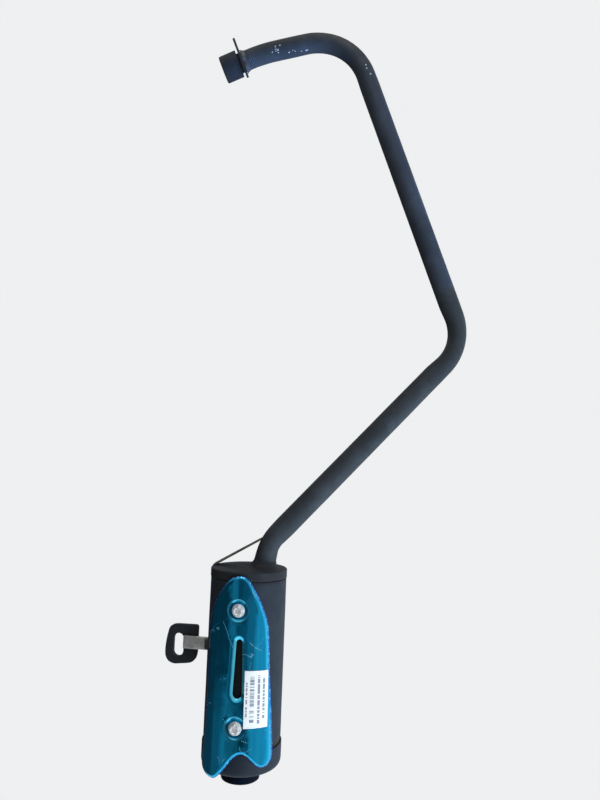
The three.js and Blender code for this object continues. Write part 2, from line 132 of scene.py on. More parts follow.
def place_camera():
    data = bpy.data.cameras.new("camera")
    data.lens = LENS
    data.sensor_width = SENSOR
    data.clip_start = 0.02
    data.clip_end = 100
    camera = put("camera", data)
    up = CAMERA_RIGHT.cross(CAMERA_FORWARD).normalized()
    right = CAMERA_FORWARD.cross(up).normalized()
    camera.matrix_world = Matrix((right, up, -CAMERA_FORWARD.normalized())).transposed().to_4x4()
    camera.location = CAMERA_PLACE
    bpy.context.scene.camera = camera
    return right, up, CAMERA_FORWARD


view_right, view_up, view_forward = place_camera()


def seen(right, up, forward):
    """A vector to the right, up and forward as the camera sees them, in metres."""
    return view_right * right + view_up * up + view_forward * forward


# ---------------------------------------------------------------- node trees


class Graph:
    """A node tree with short calls for the nodes that it needs."""

    def __init__(self, tree, coordinates):
        self.nodes = tree.nodes
        self.links = tree.links
        self.where = self.node("TexCoord", {}, coordinates)

    def node(self, kind, inputs, output=0, **settings):
        """Adds a node with its settings and inputs, and returns one of its outputs."""
        node = self.nodes.new("ShaderNode" + kind)
        for name, value in settings.items():
            setattr(node, name, value)
        for name, value in inputs.items():
            self.feed(node.inputs[name], value)
        return node.outputs[output]

    def feed(self, socket, value):
        """Links an output to a socket, or sets the socket to a plain value."""
        if isinstance(value, bpy.types.NodeSocket):
            self.links.new(value, socket)
        elif socket.type == "RGBA":
            socket.default_value = (*value, 1)
        else:
            socket.default_value = value

    def math(self, operation, *values):
        return self.node("Math", dict(enumerate(values)), operation=operation)

    def times(self, product, *factors):
        for factor in factors:
            product = self.math("MULTIPLY", product, factor)
        return product

    def spread(self, value, low, high, to_low=0.0, to_high=1.0, kind="LINEAR"):
        """Maps low to high onto to_low to to_high, held at both ends."""
        inputs = {"Value": value, "From Min": low, "From Max": high, "To Min": to_low, "To Max": to_high}
        return self.node("MapRange", inputs, "Result", interpolation_type=kind)

    def between(self, value, rise, fall):
        """One inside a range and nought outside it, with a slope at each end."""
        return self.times(self.spread(value, *rise), self.spread(value, *fall))

    def mix(self, factor, first, second):
        return self.node("Mix", {0: factor, 6: first, 7: second}, 2, data_type="RGBA")

    def dot(self, direction):
        inputs = {0: self.where, 1: direction}
        return self.node("VectorMath", inputs, "Value", operation="DOT_PRODUCT")

    def noise(self, scale, detail, roughness, where=None):
        inputs = {"Scale": scale, "Detail": detail, "Roughness": roughness, "Vector": where or self.where}
        return self.node("TexNoise", inputs, "Fac")


# ---------------------------------------------------------------- world and lamps

BACKDROP = (0.86, 0.87, 0.88)
# How bright the studio is all round the silencer, as (degrees from the eye, brightness).
WALLS_AHEAD = [
    (-180, 0.02), (-115, 0.02), (-106, 0.06), (-46, 0.065), (-42, 0.2), (-36, 0.27), (-26, 0.27), (-21, 0.12),
    (-13, 0.12), (-9, 0.16), (4, 0.17), (8, 0.26), (24, 0.28), (29, 0.5), (36, 0.58), (56, 0.6), (64, 0.8),
    (76, 1.0), (120, 1.0), (150, 0.5), (180, 0.1),
]
WALLS_BEHIND = [
    (-180, 0.02), (-112, 0.07), (-80, 0.1), (-76, 0.17), (-58, 0.2), (-52, 0.3), (-42, 0.34), (-37, 0.2),
    (-16, 0.18), (-8, 0.16), (-2, 0.08), (6, 0.06), (10, 0.14), (17, 0.17), (22, 0.4), (28, 0.52), (60, 0.58),
    (76, 1.0), (120, 1.0), (150, 0.5), (180, 0.1),
]
WALL_TINT = (0.96, 1.0, 1.05)
# How far along the silencer's axis a reflection has to look to leave one wall for the next.
TO_WALLS_BEHIND = (0.27, 0.37)
TO_REAR_WALL = (0.5, 0.75)
TO_FRONT_WALL = (-0.15, -0.5)
REAR_WALL = (0.95, 1.0, 1.05)
FRONT_WALL = (0.6, 0.62, 0.64)
WARM_SKY = (0.2, 0.18, 0.16)
COOL_SKY = (0.35, 0.42, 0.52)


def studio_wall(graph, share, stops):
    """A ramp of brightness over the turn about the silencer, from -180 to 180 degrees."""
    ramp = graph.nodes.new("ShaderNodeValToRGB")
    elements = ramp.color_ramp.elements
    while len(elements) > 1:
        elements.remove(elements[-1])
    for i, (degrees, value) in enumerate(stops):
        place = (degrees + 180) / 360
        element = elements[0] if i == 0 else elements.new(place)
        element.position = place
        element.color = (*(value * tint for tint in WALL_TINT), 1)
    graph.feed(ramp.inputs["Fac"], share)
    return ramp.outputs["Color"]


def light_world():
    """A pale backdrop for the eye, banded studio walls for reflections, and a soft sky for diffuse light."""
    world = bpy.data.worlds.new("studio")
    bpy.context.scene.world = world
    world.use_nodes = True
    world.node_tree.nodes.clear()
    graph = Graph(world.node_tree, "Generated")

    def step(direction, ends):
        return graph.spread(graph.dot(direction), *ends, kind="SMOOTHSTEP")

    turn = graph.math("ARCTAN2", graph.dot(view_right), graph.dot(-view_forward))
    share = graph.spread(turn, -math.pi, math.pi)
    ahead, behind = (studio_wall(graph, share, stops) for stops in (WALLS_AHEAD, WALLS_BEHIND))
    walls = graph.mix(step(axis, TO_WALLS_BEHIND), ahead, behind)
    walls = graph.mix(step(axis, TO_REAR_WALL), walls, REAR_WALL)
    walls = graph.mix(step(axis, TO_FRONT_WALL), walls, FRONT_WALL)
    sky = graph.mix(step(seen(0.9, -0.4, 0).normalized(), (-0.3, 1.0)), WARM_SKY, COOL_SKY)
    shader = graph.node("Background", {"Color": sky})
    for ray, color in (("Is Glossy Ray", walls), ("Is Camera Ray", BACKDROP)):
        background = graph.node("Background", {"Color": color})
        here = graph.node("LightPath", {}, ray)
        shader = graph.node("MixShader", {"Fac": here, 1: shader, 2: background})
    out = graph.nodes.new("ShaderNodeOutputWorld")
    graph.feed(out.inputs["Surface"], shader)


def add_light(name, position, target, size, power, color, reflects=False, spread=180):
    data = bpy.data.lights.new(name, "AREA")
    data.shape = "RECTANGLE"
    data.size, data.size_y = size
    data.energy = power
    data.color = color
    data.spread = math.radians(spread)
    lamp = put(name, data)
    lamp.location = position
    lamp.rotation_mode = "QUATERNION"
    lamp.rotation_quaternion = (target - position).to_track_quat("-Z", "Y")
    lamp.visible_camera = False
    lamp.visible_glossy = reflects


bpy.context.scene.view_settings.view_transform = "Standard"
light_world()
part_middle = (cad_box[0] + cad_box[1]) / 2
behind_port = Vector((0, 0, -0.04))
add_light("key", part_middle + seen(0.8, -0.6, -0.7), part_middle, (0.9, 1.3), 22, (0.84, 0.94, 1.0))
above = part_middle + seen(0, 1.3, -0.5)
add_light("top", above, part_middle, (1.2, 0.8), 6, (1.0, 0.94, 0.84), reflects=True)
add_light("back", part_middle + seen(0.9, 0.3, 1.0), part_middle, (1.0, 0.8), 14, (0.66, 0.86, 1.0))
add_light("port_fill", seen(0.28, -0.3, -0.12), behind_port, (0.2, 0.2), 0.3, (0.08, 0.36, 1.0), spread=55)


# ---------------------------------------------------------------- materials

# The painted shade on the body behind the slot: the slopes of its edges, in millimetres.
SLOT_SHADE_BESIDE = (13, 9)
SLOT_SHADE_FRONT = (48, 53)
SLOT_SHADE_REAR = (122, 117)
# The rings behind the port: the slopes of their two ends, in millimetres, and how close they are.
RINGS_REAR = (-21, -17)
RINGS_FRONT = (-8, -10)
RING_RATE = 2.6


class Look(Graph):
    """A material, with the patterns that the looks of this part are made of."""

    def __init__(self, name):
        self.material = bpy.data.materials.new(name)
        self.material.use_nodes = True
        super().__init__(self.material.node_tree, "Object")
        self.shader = self.nodes["Principled BSDF"]

    def set(self, **values):
        for name, value in values.items():
            self.shader.inputs[name.replace("_", " ")].default_value = value

    def link(self, output, name):
        self.links.new(output, self.shader.inputs[name])

    def clouds(self, grain, edges, first, second):
        """Two colours in soft clouds."""
        return self.mix(self.spread(self.noise(*grain), *edges), first, second)

    def tint(self, colour, mask, weight, tone):
        """Mixes a tone over the colour where the mask is, up to a weight."""
        return self.mix(self.times(mask, weight), colour, tone)

    def bump(self, height, strength, depth, under=None):
        inputs = {"Strength": strength, "Distance": depth, "Height": height}
        if under is not None:
            inputs["Normal"] = under
        return self.node("Bump", inputs)

    def grain(self, grain, strength, depth, under=None):
        return self.bump(self.noise(*grain), strength, depth, under)

    def finish(self, colour, rough_grain, rough, normal, **values):
        """Links the colour, a roughness that wanders between two values, and the normal."""
        self.link(colour, "Base Color")
        self.link(self.spread(self.noise(*rough_grain), 0.3, 0.7, *rough), "Roughness")
        self.link(normal, "Normal")
        self.set(**values)
        return self.material

    def stored(self, name):
        """A value kept on the mesh at each point."""
        return self.node("Attribute", {}, "Fac", attribute_name=name)

    def behind_slot(self):
        """The strip of body behind the shield's slot, where it is painted dark as shade."""
        up = self.math("SUBTRACT", self.dot(upward * MM_PER_M), upward.dot(seam) * MM_PER_M + SLOT_UP)
        along = self.math("SUBTRACT", self.dot(axis * MM_PER_M), axis.dot(seam) * MM_PER_M)
        beside = self.spread(self.math("ABSOLUTE", up), *SLOT_SHADE_BESIDE)
        outboard = self.math("LESS_THAN", self.dot(inboard * MM_PER_M), seam.y * MM_PER_M)
        return self.times(beside, self.between(along, SLOT_SHADE_FRONT, SLOT_SHADE_REAR), outboard)

    def port_rings(self):
        """Fine rings round the pipe just behind the inlet flange: raised in the bump, with a painted highlight."""
        height = self.dot((0, 0, MM_PER_M))
        uneven = self.math("ADD", height, self.noise(60, 2, 0.5))
        wave = self.math("SINE", self.times(uneven, RING_RATE))
        return self.times(self.spread(wave, 0.2, 0.9), self.between(height, RINGS_REAR, RINGS_FRONT))

    def banded(self, detail, roughness, rate):
        """Noise that changes across the shield and hardly along it."""
        across = self.times(self.dot(upward), 90 * rate)
        along = self.times(self.dot(axis), 4 * rate)
        return self.noise(1, detail, roughness, self.node("CombineXYZ", {0: across, 1: along}))

    def thread(self, scale, width, level):
        """Thin wandering lines: the places where a slow noise crosses a level, broken up by another."""
        above = self.math("SUBTRACT", self.noise(scale, 2, 0.5), level)
        near = self.math("LESS_THAN", self.math("ABSOLUTE", above), width)
        broken = self.math("GREATER_THAN", self.noise(scale * 2.3 + 5, 2, 0.5), 0.56)
        return self.times(near, broken)


def satin_black(name, dark, pale, dust=0.25, rings=False, shade_behind_slot=False):
    """High-temperature paint: fine orange peel, cloudy sheen, and dust that lies in patches."""
    look = Look(name)
    colour = look.clouds((14, 4, 0.6), (0.35, 0.68), dark, pale)
    patches = look.spread(look.noise(38, 5, 0.65), 0.5, 0.75)
    colour = look.tint(colour, patches, dust, tuple(2.1 * c for c in pale))
    specks = look.spread(look.noise(420, 3, 0.7), 0.68, 0.76)
    colour = look.tint(colour, specks, 0.3, (0.16, 0.165, 0.17))
    peel = look.grain((900, 2, 0.5), 0.16, 0.0004)
    if rings:
        # The rings' lighter blue tint is a painted highlight on their ridges.
        ridges = look.port_rings()
        colour = look.tint(colour, ridges, 0.5, (0.1, 0.13, 0.2))
        peel = look.bump(ridges, 0.9, 0.0008, peel)
    # The body behind the slot is painted near black: painted shade.
    if shade_behind_slot:
        colour = look.mix(look.behind_slot(), colour, (0.002, 0.003, 0.003))
    normal = look.grain((120, 3, 0.55), 0.12, 0.0012, peel)
    return look.finish(colour, (55, 4, 0.6), (0.5, 0.66), normal, Specular_IOR_Level=0.22)


def cloudy(name, dark, pale, clouds, edges, rough_grain, rough, grain, strength, depth, **values):
    """Two colours in clouds, a roughness that wanders, and a fine grain."""
    look = Look(name)
    colour = look.clouds(clouds, edges, dark, pale)
    return look.finish(colour, rough_grain, rough, look.grain(grain, strength, depth), **values)


def bare_steel(name, dark, pale, rough=(0.38, 0.62)):
    """Unpainted mild steel with a mill grain and light staining."""
    look = Look(name)
    colour = look.clouds((70, 5, 0.65), (0.4, 0.68), pale, dark)
    colour = look.clouds((190, 4, 0.7), (0.6, 0.74, 0, 0.5), colour, (0.13, 0.07, 0.035))
    normal = look.grain((800, 3, 0.6), 0.25, 0.0003)
    return look.finish(colour, (260, 3, 0.6), rough, normal, Metallic=0.85)


def blue_mirror():
    """Blue mirror film on sheet metal: lengthwise bands, partly its own tint and partly painted reflection, a
    ragged edge, a painted shadow ring and a painted highlight ring at each bolt, painted highlights on the slot's
    lip and the rolled rim, hairlines.
    """
    look = Look("blue_mirror_film")
    rim, lip, bolt = (look.stored(name) for name in ("rim", "lip", "bolt"))
    # Lengthwise bands, partly the film's own uneven tint and partly painted reflection bands.
    tint_and_reflection_bands = look.spread(look.banded(2, 0.4, 0.9), 0.38, 0.62)
    colour = look.mix(tint_and_reflection_bands, (0.01, 0.34, 0.66), (0.02, 0.45, 0.72))
    fine_tint_and_reflection_bands = look.spread(look.banded(3, 0.6, 5.0), 0.45, 0.75, 0, 0.5)
    colour = look.mix(fine_tint_and_reflection_bands, colour, (0.005, 0.28, 0.56))
    # A painted shadow ring in each bolt's dimple, just outside the washer.
    ring = look.between(bolt, (7.0, 7.8), (9.8, 9.0))
    colour = look.tint(colour, ring, 0.55, (0.0, 0.1, 0.34))
    # A painted highlight ring on each dimple's outer shoulder.
    dimple_shoulder_highlight = look.between(bolt, (10, 10.8), (12.6, 11.6))
    colour = look.tint(colour, dimple_shoulder_highlight, 0.5, (0.2, 0.8, 1.0))
    # A painted highlight along the slot's lip, within about 3 mm of its edge.
    lip_highlight_reach = look.math("ADD", lip, look.spread(look.noise(90, 2, 0.5), 0.3, 0.7, -1, 1))
    colour = look.tint(colour, look.spread(lip_highlight_reach, 3.4, 1.6), 0.75, (0.16, 0.8, 1.0))
    # A painted highlight on the rolled rim, between about 1.5 and 2.2 mm from the edge.
    rim_highlight = look.between(rim, (1.0, 1.5), (3.0, 2.2))
    colour = look.tint(colour, rim_highlight, 0.35, (0.06, 0.6, 0.9))
    specks = look.spread(look.noise(620, 2, 0.6), 0.735, 0.76)
    patches = look.spread(look.noise(45, 3, 0.6), 0.5, 0.62)
    marks = look.math("MAXIMUM", look.thread(23, 0.0022, 0.5), look.times(specks, patches))
    colour = look.tint(colour, marks, 0.6, (0.3, 0.75, 0.95))
    ragged = look.math("ADD", rim, look.spread(look.noise(420, 3, 0.7), 0.3, 0.7, -0.7, 0.7))
    fringe = look.spread(ragged, 1.1, 0.6)
    colour = look.mix(fringe, colour, (0.0, 0.085, 0.4))
    crumbs = look.times(look.spread(ragged, 2.2, 1.4), look.spread(look.noise(700, 2, 0.5), 0.6, 0.66))
    colour = look.tint(colour, crumbs, 0.8, (0.35, 0.85, 1.0))
    look.link(colour, "Base Color")
    rough = look.spread(look.noise(95, 4, 0.6), 0.35, 0.7, 0.06, 0.14)
    soft = look.math("MAXIMUM", look.times(marks, 0.4), look.times(fringe, 0.45))
    look.link(look.math("ADD", rough, soft), "Roughness")
    look.link(look.math("SUBTRACT", 1.0, look.times(fringe, 0.6)), "Metallic")
    wavy = look.grain((60, 3, 0.5), 0.1, 0.0012)
    pulled = look.bump(look.banded(2, 0.5, 2.2), 0.1, 0.0016, wavy)
    lifted = look.grain((500, 3, 0.6), 0.5, 0.0004, pulled)
    at_rim = look.spread(rim, 3.4, 2.0)
    normal = look.node("Mix", {0: at_rim, 4: pulled, 5: lifted}, 1, data_type="VECTOR")
    look.link(look.bump(marks, 0.5, 0.0003, normal), "Normal")
    return look.material


# The label's print, as shares of its width and length: (from, to, start, end, offset of the pattern).
LABEL_BARS = (0.25, 0.44, 0.1, 0.9, 3)
LABEL_DASHES = [(0.58, 0.68, 0.08, 0.93, 11), (0.79, 0.88, 0.12, 0.84, 29), (0.07, 0.14, 0.2, 0.8, 47)]
LABEL_LINES = [(0.952, 0.962, 0.0, 0.985), (0.0, 0.962, 0.979, 0.985)]


def sticker():
    """White label stock with generic print: three rows of short dashes and one row of bars, lengthwise."""
    look = Look("label_stock")
    place = look.node("UVMap", {}, "UV", uv_map="label")
    across = look.node("SeparateXYZ", {"Vector": place}, "X")
    along = look.node("SeparateXYZ", {"Vector": place}, "Y")

    def within(value, low, high):
        return look.times(look.math("GREATER_THAN", value, low), look.math("LESS_THAN", value, high))

    def box(low, high, start, end):
        return look.times(within(across, low, high), within(along, start, end))

    def pattern(rate, offset, share):
        cell = look.math("ADD", look.math("FLOOR", look.times(along, rate)), offset)
        value = look.node("TexWhiteNoise", {"W": cell}, "Value", noise_dimensions="1D")
        return look.math("LESS_THAN", value, share)

    *bars_box, offset = LABEL_BARS
    ink = look.times(box(*bars_box), pattern(110, offset, 0.5))
    for *dashes_box, offset in LABEL_DASHES:
        ink = look.math("MAXIMUM", ink, look.times(box(*dashes_box), pattern(64, offset, 0.7)))
    for line in LABEL_LINES:
        ink = look.math("MAXIMUM", ink, look.times(box(*line), 0.35))
    paper = look.clouds((300, 3, 0.6), (0.3, 0.7, 0.0, 0.08), (0.7, 0.71, 0.72), (0.62, 0.635, 0.65))
    colour = look.tint(paper, ink, 0.82, (0.09, 0.1, 0.16))
    return look.finish(colour, (200, 2, 0.5), (0.42, 0.58), look.grain((500, 3, 0.5), 0.1, 0.0003))


BLACK = satin_black("satin_black_paint", (0.011, 0.016, 0.024), (0.016, 0.023, 0.034))
BODY_BLACK = satin_black("body_black_paint", (0.013, 0.0185, 0.028), (0.0195, 0.027, 0.039), shade_behind_slot=True)
HEADER_BLACK = satin_black("header_black_paint", (0.023, 0.03, 0.039), (0.035, 0.044, 0.056), 0.3, rings=True)
CAP_BLACK = satin_black("cap_black_paint", (0.014, 0.0175, 0.022), (0.023, 0.027, 0.033), 0.3)
STEEL = bare_steel("bare_steel", (0.2, 0.185, 0.16), (0.5, 0.49, 0.46))
STRAP_STEEL = bare_steel("strap_steel", (0.3, 0.3, 0.28), (0.6, 0.61, 0.59), (0.34, 0.52))
BAND_STEEL = bare_steel("band_steel", (0.035, 0.03, 0.02), (0.09, 0.08, 0.055), (0.5, 0.7))
SOOTY_STEEL = bare_steel("sooty_steel", (0.03, 0.027, 0.024), (0.13, 0.12, 0.11), (0.5, 0.75))
STAY_STEEL = bare_steel("stay_steel", (0.07, 0.072, 0.06), (0.2, 0.2, 0.17), (0.45, 0.65))
BLUE = blue_mirror()
LABEL = sticker()
WELD = cloudy(
    "weld_bead_paint",
    dark=(0.022, 0.026, 0.032),
    pale=(0.07, 0.074, 0.08),
    clouds=(160, 4, 0.6),
    edges=(0.35, 0.7),
    rough_grain=(300, 3, 0.6),
    rough=(0.4, 0.66),
    grain=(700, 3, 0.6),
    strength=0.35,
    depth=0.0006,
    Metallic=0.15,
)
ZINC = cloudy(
    "bright_zinc",
    dark=(0.72, 0.74, 0.76),
    pale=(0.95, 0.96, 0.97),
    clouds=(350, 4, 0.6),
    edges=(0.3, 0.7),
    rough_grain=(500, 3, 0.6),
    rough=(0.16, 0.38),
    grain=(1500, 2, 0.5),
    strength=0.2,
    depth=0.0002,
    Metallic=0.6,
)
# Near black and almost without shine, darker than any paint here: painted shade inside the outlet tube.
OUTLET_SHADE = cloudy(
    "outlet_painted_shade",
    dark=(0.001, 0.003, 0.008),
    pale=(0.003, 0.006, 0.013),
    clouds=(40, 4, 0.6),
    edges=(0.35, 0.7),
    rough_grain=(90, 3, 0.6),
    rough=(0.45, 0.62),
    grain=(900, 2, 0.5),
    strength=0.15,
    depth=0.0003,
    Specular_IOR_Level=0.04,
)
CREASE = cloudy(
    "film_crease",
    dark=(0.08, 0.4, 0.6),
    pale=(0.4, 0.8, 0.95),
    clouds=(400, 3, 0.6),
    edges=(0.35, 0.65),
    rough_grain=(600, 2, 0.5),
    rough=(0.25, 0.45),
    grain=(900, 2, 0.5),
    strength=0.3,
    depth=0.0002,
    Metallic=0.5,
)
PRIMER = cloudy(
    "chipped_primer",
    dark=(0.28, 0.31, 0.34),
    pale=(0.62, 0.64, 0.64),
    clouds=(900, 3, 0.6),
    edges=(0.35, 0.65),
    rough_grain=(700, 2, 0.5),
    rough=(0.5, 0.75),
    grain=(1200, 2, 0.5),
    strength=0.4,
    depth=0.0002,
)


# ---------------------------------------------------------------- mesh building


def make(name, vertices, faces, matrix, *materials, smooth=True):
    mesh = bpy.data.meshes.new(name)
    mesh.from_pydata([matrix @ Vector(v) for v in vertices], [], faces)
    mesh.validate()
    tidy = bmesh.new()
    tidy.from_mesh(mesh)
    bmesh.ops.recalc_face_normals(tidy, faces=tidy.faces)
    tidy.to_mesh(mesh)
    tidy.free()
    for polygon in mesh.polygons:
        polygon.use_smooth = smooth
    for material in materials:
        mesh.materials.append(material)
    return put(name, mesh)


def stands_for(piece, body, slot, *nodes):
    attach(piece, body)
    if nodes:
        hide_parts(*nodes)
    return piece


def keep_sharp(piece, degrees):
    piece.data.set_sharp_from_angle(angle=math.radians(degrees))


def turns(count):
    """The angles of even steps round a circle."""
    return [2 * math.pi * k / count for k in range(count)]


def spoke_at(angle, across, over):
    return across * math.cos(angle) + over * math.sin(angle)


def curve(start, middle, end, t):
    """A point on a quadratic curve."""
    return start * (1 - t) ** 2 + middle * 2 * t * (1 - t) + end * t ** 2


def hump(value, place, width):
    return math.exp(-(((value - place) / width) ** 2))


def bridged(rings, count, closed=True):
    """Faces that join rings of count points each, and the last ring to the first if closed."""
    faces = []
    for ring in range(rings if closed else rings - 1):
        here, there = ring * count, (ring + 1) % rings * count
        for j in range(count):
            k = (j + 1) % count
            faces.append((here + j, here + k, there + k, there + j))
    return faces


def end_faces(rings, count):
    """The two faces that close an open run of rings."""
    return [tuple(range(count)), tuple(range((rings - 1) * count, rings * count))]


def bake(piece):
    """Replaces a piece's mesh by what its modifiers make of it."""
    graph = bpy.context.evaluated_depsgraph_get()
    mesh = bpy.data.meshes.new_from_object(piece.evaluated_get(graph))
    piece.modifiers.clear()
    piece.data = mesh


def smooth_step(low, high, value):
    t = max(0.0, min(1.0, (value - low) / (high - low)))
    return t * t * (3 - 2 * t)


def rounded(corners, radii, closed=True, steps=6):
    """Rounds the corners of an outline. radii holds one radius for each corner, and 0 keeps it sharp."""
    points = []
    count = len(corners)
    for i, (corner, radius) in enumerate(zip(corners, radii)):
        here = Vector(corner)
        ends = not closed and i in (0, count - 1)
        if radius == 0 or ends:
            points.append(tuple(here))
            continue
        before = Vector(corners[i - 1]) - here
        after = Vector(corners[(i + 1) % count]) - here
        half = before.angle(after) / 2
        cut = min(radius / math.tan(half), before.length * 0.49, after.length * 0.49)
        start = here + before.normalized() * cut
        end = here + after.normalized() * cut
        points.extend(tuple(curve(start, here, end, k / steps)) for k in range(steps + 1))
    return points


def tube_wall(outer, inner, low, high):
    """The four corners of a tube's wall, as a profile for lathe."""
    return [(outer, low), (outer, high), (inner, high), (inner, low)]


def lathe(name, profile, matrix, *materials, segments=144, shape=None):
    """Turns a closed profile of (radius, height) about z. shape may move a point: shape(angle, r, z)."""
    vertices = []
    for angle in turns(segments):
        for radius, height in profile:
            if shape:
                radius, height = shape(angle, radius, height)
            vertices.append((radius * math.cos(angle), radius * math.sin(angle), height))
    return make(name, vertices, bridged(segments, len(profile)), matrix, *materials)


def sweep(name, stations, bore, matrix, *materials, sides=64):
    """A tube along stations of (point, across, over, reach); reach gives its outer face at an angle."""
    vertices = []
    for point, across, over, reach in stations:
        vertices.extend(point + reach(angle, across, over) for angle in turns(sides))
    for point, across, over, _ in reversed(stations):
        vertices.extend(point + spoke_at(angle, across, over) * bore for angle in turns(sides))
    return make(name, vertices, bridged(2 * len(stations), sides), matrix, *materials)


# ---------------------------------------------------------------- header pipe

PORT_END = 24.6
# Each corner of the pipe: its place, its bend radius, and how flat the bend is inside and outside.
ROUTE = [
    (Vector((0, 0, PORT_END)), 0, 0, 0),
    (Vector((0, 0, -30)), 120, 0.0, 0.0),
    (Vector((-37.5, -17, -146.5)), 82, 0.07, 0.05),
    (Vector((-471.5, -2, -134.5)), 62, 0.2, 0.03),
    (PART.inverted() @ (SILENCER @ NECK_CORNER), 40, 0.1, 0.08),
    (PART.inverted() @ (SILENCER @ NECK_END), 0, 0, 0),
]
# A bend's flattening eases in over this length before it, and out over a few short steps after it.
EASE_IN = 14
EASE_OUT_STEP = 3
EASE_OUT_STEPS = 5
BEND_STEP = 2.5
END_STEPS = 8


def route_stations(step=3.0):
    """Points along the pipe, each with its frame and how far its section is squeezed on each side."""
    places = []
    start = ROUTE[0][0]
    for i in range(1, len(ROUTE) - 1):
        corner, radius, inner, outer = ROUTE[i]
        before = (corner - ROUTE[i - 1][0]).normalized()
        after = (ROUTE[i + 1][0] - corner).normalized()
        turn = before.angle(after)
        cut = radius * math.tan(turn / 2)
        bend_start = corner - before * cut
        inward = (after - before * before.dot(after)).normalized()
        run = bend_start - start
        count = max(2, int(run.length / step))
        for k in range(count):
            ease = max(0.0, 1 - (run.length * (1 - k / count)) / EASE_IN)
            places.append((start + run * k / count, before, inward, inner * ease * 0.5, outer * ease * 0.5))
        count = max(6, int(radius * turn / BEND_STEP))
        for k in range(count):
            angle = turn * k / count
            point = bend_start + before * radius * math.sin(angle) + inward * radius * (1 - math.cos(angle))
            heading = before * math.cos(angle) + inward * math.sin(angle)
            centre = inward * math.cos(angle) - before * math.sin(angle)
            weight = 0.5 + 0.5 * math.sin(math.pi * k / count)
            places.append((point, heading, centre, inner * weight, outer * weight))
        start = corner + after * cut
        last_inward = inward * math.cos(turn) - before * math.sin(turn)
        for k in range(1, EASE_OUT_STEPS):
            fade = 0.5 * (1 - k / EASE_OUT_STEPS)
            place = start + after * EASE_OUT_STEP * k
            places.append((place, after, last_inward, inner * fade, outer * fade))
        start = start + after * EASE_OUT_STEP * EASE_OUT_STEPS
    end = ROUTE[-1][0]
    heading = (end - start).normalized()
    for k in range(END_STEPS + 1):
        places.append((start + (end - start) * k / END_STEPS, heading, last_inward, 0, 0))
    return places


def header_pipe():
    stations = []
    across = None
    for point, heading, inward, inner, outer in route_stations():
        if across is None:
            across = heading.orthogonal().normalized()
        across = (across - heading * heading.dot(across)).normalized()
        over = heading.cross(across)
        wobble = noise.noise(point * 0.021) * 0.12

        def reach(
            angle, across, over, inward=inward, inner=inner, outer=outer, wobble=wobble, point=point
        ):
            spoke = spoke_at(angle, across, over)
            inside = spoke.dot(inward)
            squeeze = inner if inside > 0 else outer
            offset = spoke * (PIPE_R - 0.02 - abs(wobble)) - inward * inside * PIPE_R * squeeze
            dent = noise.noise((point + offset) * 0.06) * 0.12
            return offset - spoke * abs(dent)

        stations.append((point, across.copy(), over.copy(), reach))
    piece = sweep("header_pipe_skin", stations, PIPE_BORE - 1.6, PART, HEADER_BLACK, sides=72)
    return stands_for(piece, "root", "black_paint", "header_pipe")


# Patches of chipped paint: distance from the flange face, half length, angle, half angle, chips.
CHIP_PATCHES = [(56, 7, 32, 24, 8), (76, 6, 56, 5, 4), (92, 5, 66, 8, 4), (205, 22, -14, 6, 3)]
CHIP_CORNERS = 11


def paint_chips():
    """Small ragged flecks of bare primer, laid on the pipe's outboard side."""
    pick = random.Random(11)
    line, walked, last = [], -PORT_END, None
    for point, heading, *_ in route_stations(1.0):
        walked += (point - last).length if last else 0
        last = point
        line.append((walked, point, heading))
    vertices, faces = [], []
    for middle, half, angle, spread, count in CHIP_PATCHES:
        for _ in range(count):
            place = middle + half * pick.uniform(-1, 1)
            turn = math.radians(angle + spread * pick.uniform(-1, 1))
            size = pick.uniform(0.5, 1.3)
            _, point, heading = min(line, key=lambda station: abs(station[0] - place))
            outboard = (heading * heading.dot(inboard) - inboard).normalized()
            over = heading.cross(outboard)
            first = len(vertices)
            for way in turns(CHIP_CORNERS):
                reach = size * pick.uniform(0.45, 1.1)
                bend = turn + reach * math.sin(way) / PIPE_R
                spoke = spoke_at(bend, outboard, over)
                vertices.append(point + heading * reach * math.cos(way) * 1.2 + spoke * (PIPE_R + 0.06))
            faces.append(tuple(range(first, first + CHIP_CORNERS)))
    piece = make("paint_chips", vertices, faces, PART, PRIMER)
    stands_for(piece, "root", "black_paint")


header_pipe()
paint_chips()

# ---------------------------------------------------------------- inlet


def inlet():
    wall = tube_wall(SPIGOT_R, PIPE_R + GAP, GROOVE, SPIGOT_END)
    spigot = rounded(wall, [0.5, 3.4, 0.6, 0.3], steps=8)

    def worn(angle, radius, height):
        place = (math.cos(angle), math.sin(angle), height * 0.06)
        return radius - 0.05 - 0.1 * abs(noise.noise(place)), height

    piece = lathe("inlet_spigot_skin", spigot, PART, BLACK, segments=128, shape=worn)
    stands_for(piece, "root", "black_paint", "inlet_spigot")
    piece = softened("inlet_flange_plate", "inlet_flange", 0.45, BLACK)
    stands_for(piece, "root", "black_paint", "inlet_flange")
    back = -FLANGE_THICK - GAP
    bead = rounded(
        [
            (PIPE_R - 0.6, back),
            (16.1, back),
            (15, back - 1.1),
            (14, back - 2.6),
            (13.4, back - 4.4),
            (13, back - 5.5),
            (PIPE_R - 0.6, back - 5.6),
        ],
        [0, 0.5, 1, 1, 1, 0.2, 0],
    )

    def rippled(angle, radius, height):
        share = max(0.0, (radius - 12.6) / 5)
        wave = math.sin(34 * angle + 2 * math.sin(3 * angle) + height * 0.9)
        return radius + share * (0.22 * wave - 0.2), height

    piece = lathe("inlet_flange_bead", bead, PART, WELD, segments=288, shape=rippled)
    stands_for(piece, "root", "weld", "inlet_flange_weld")


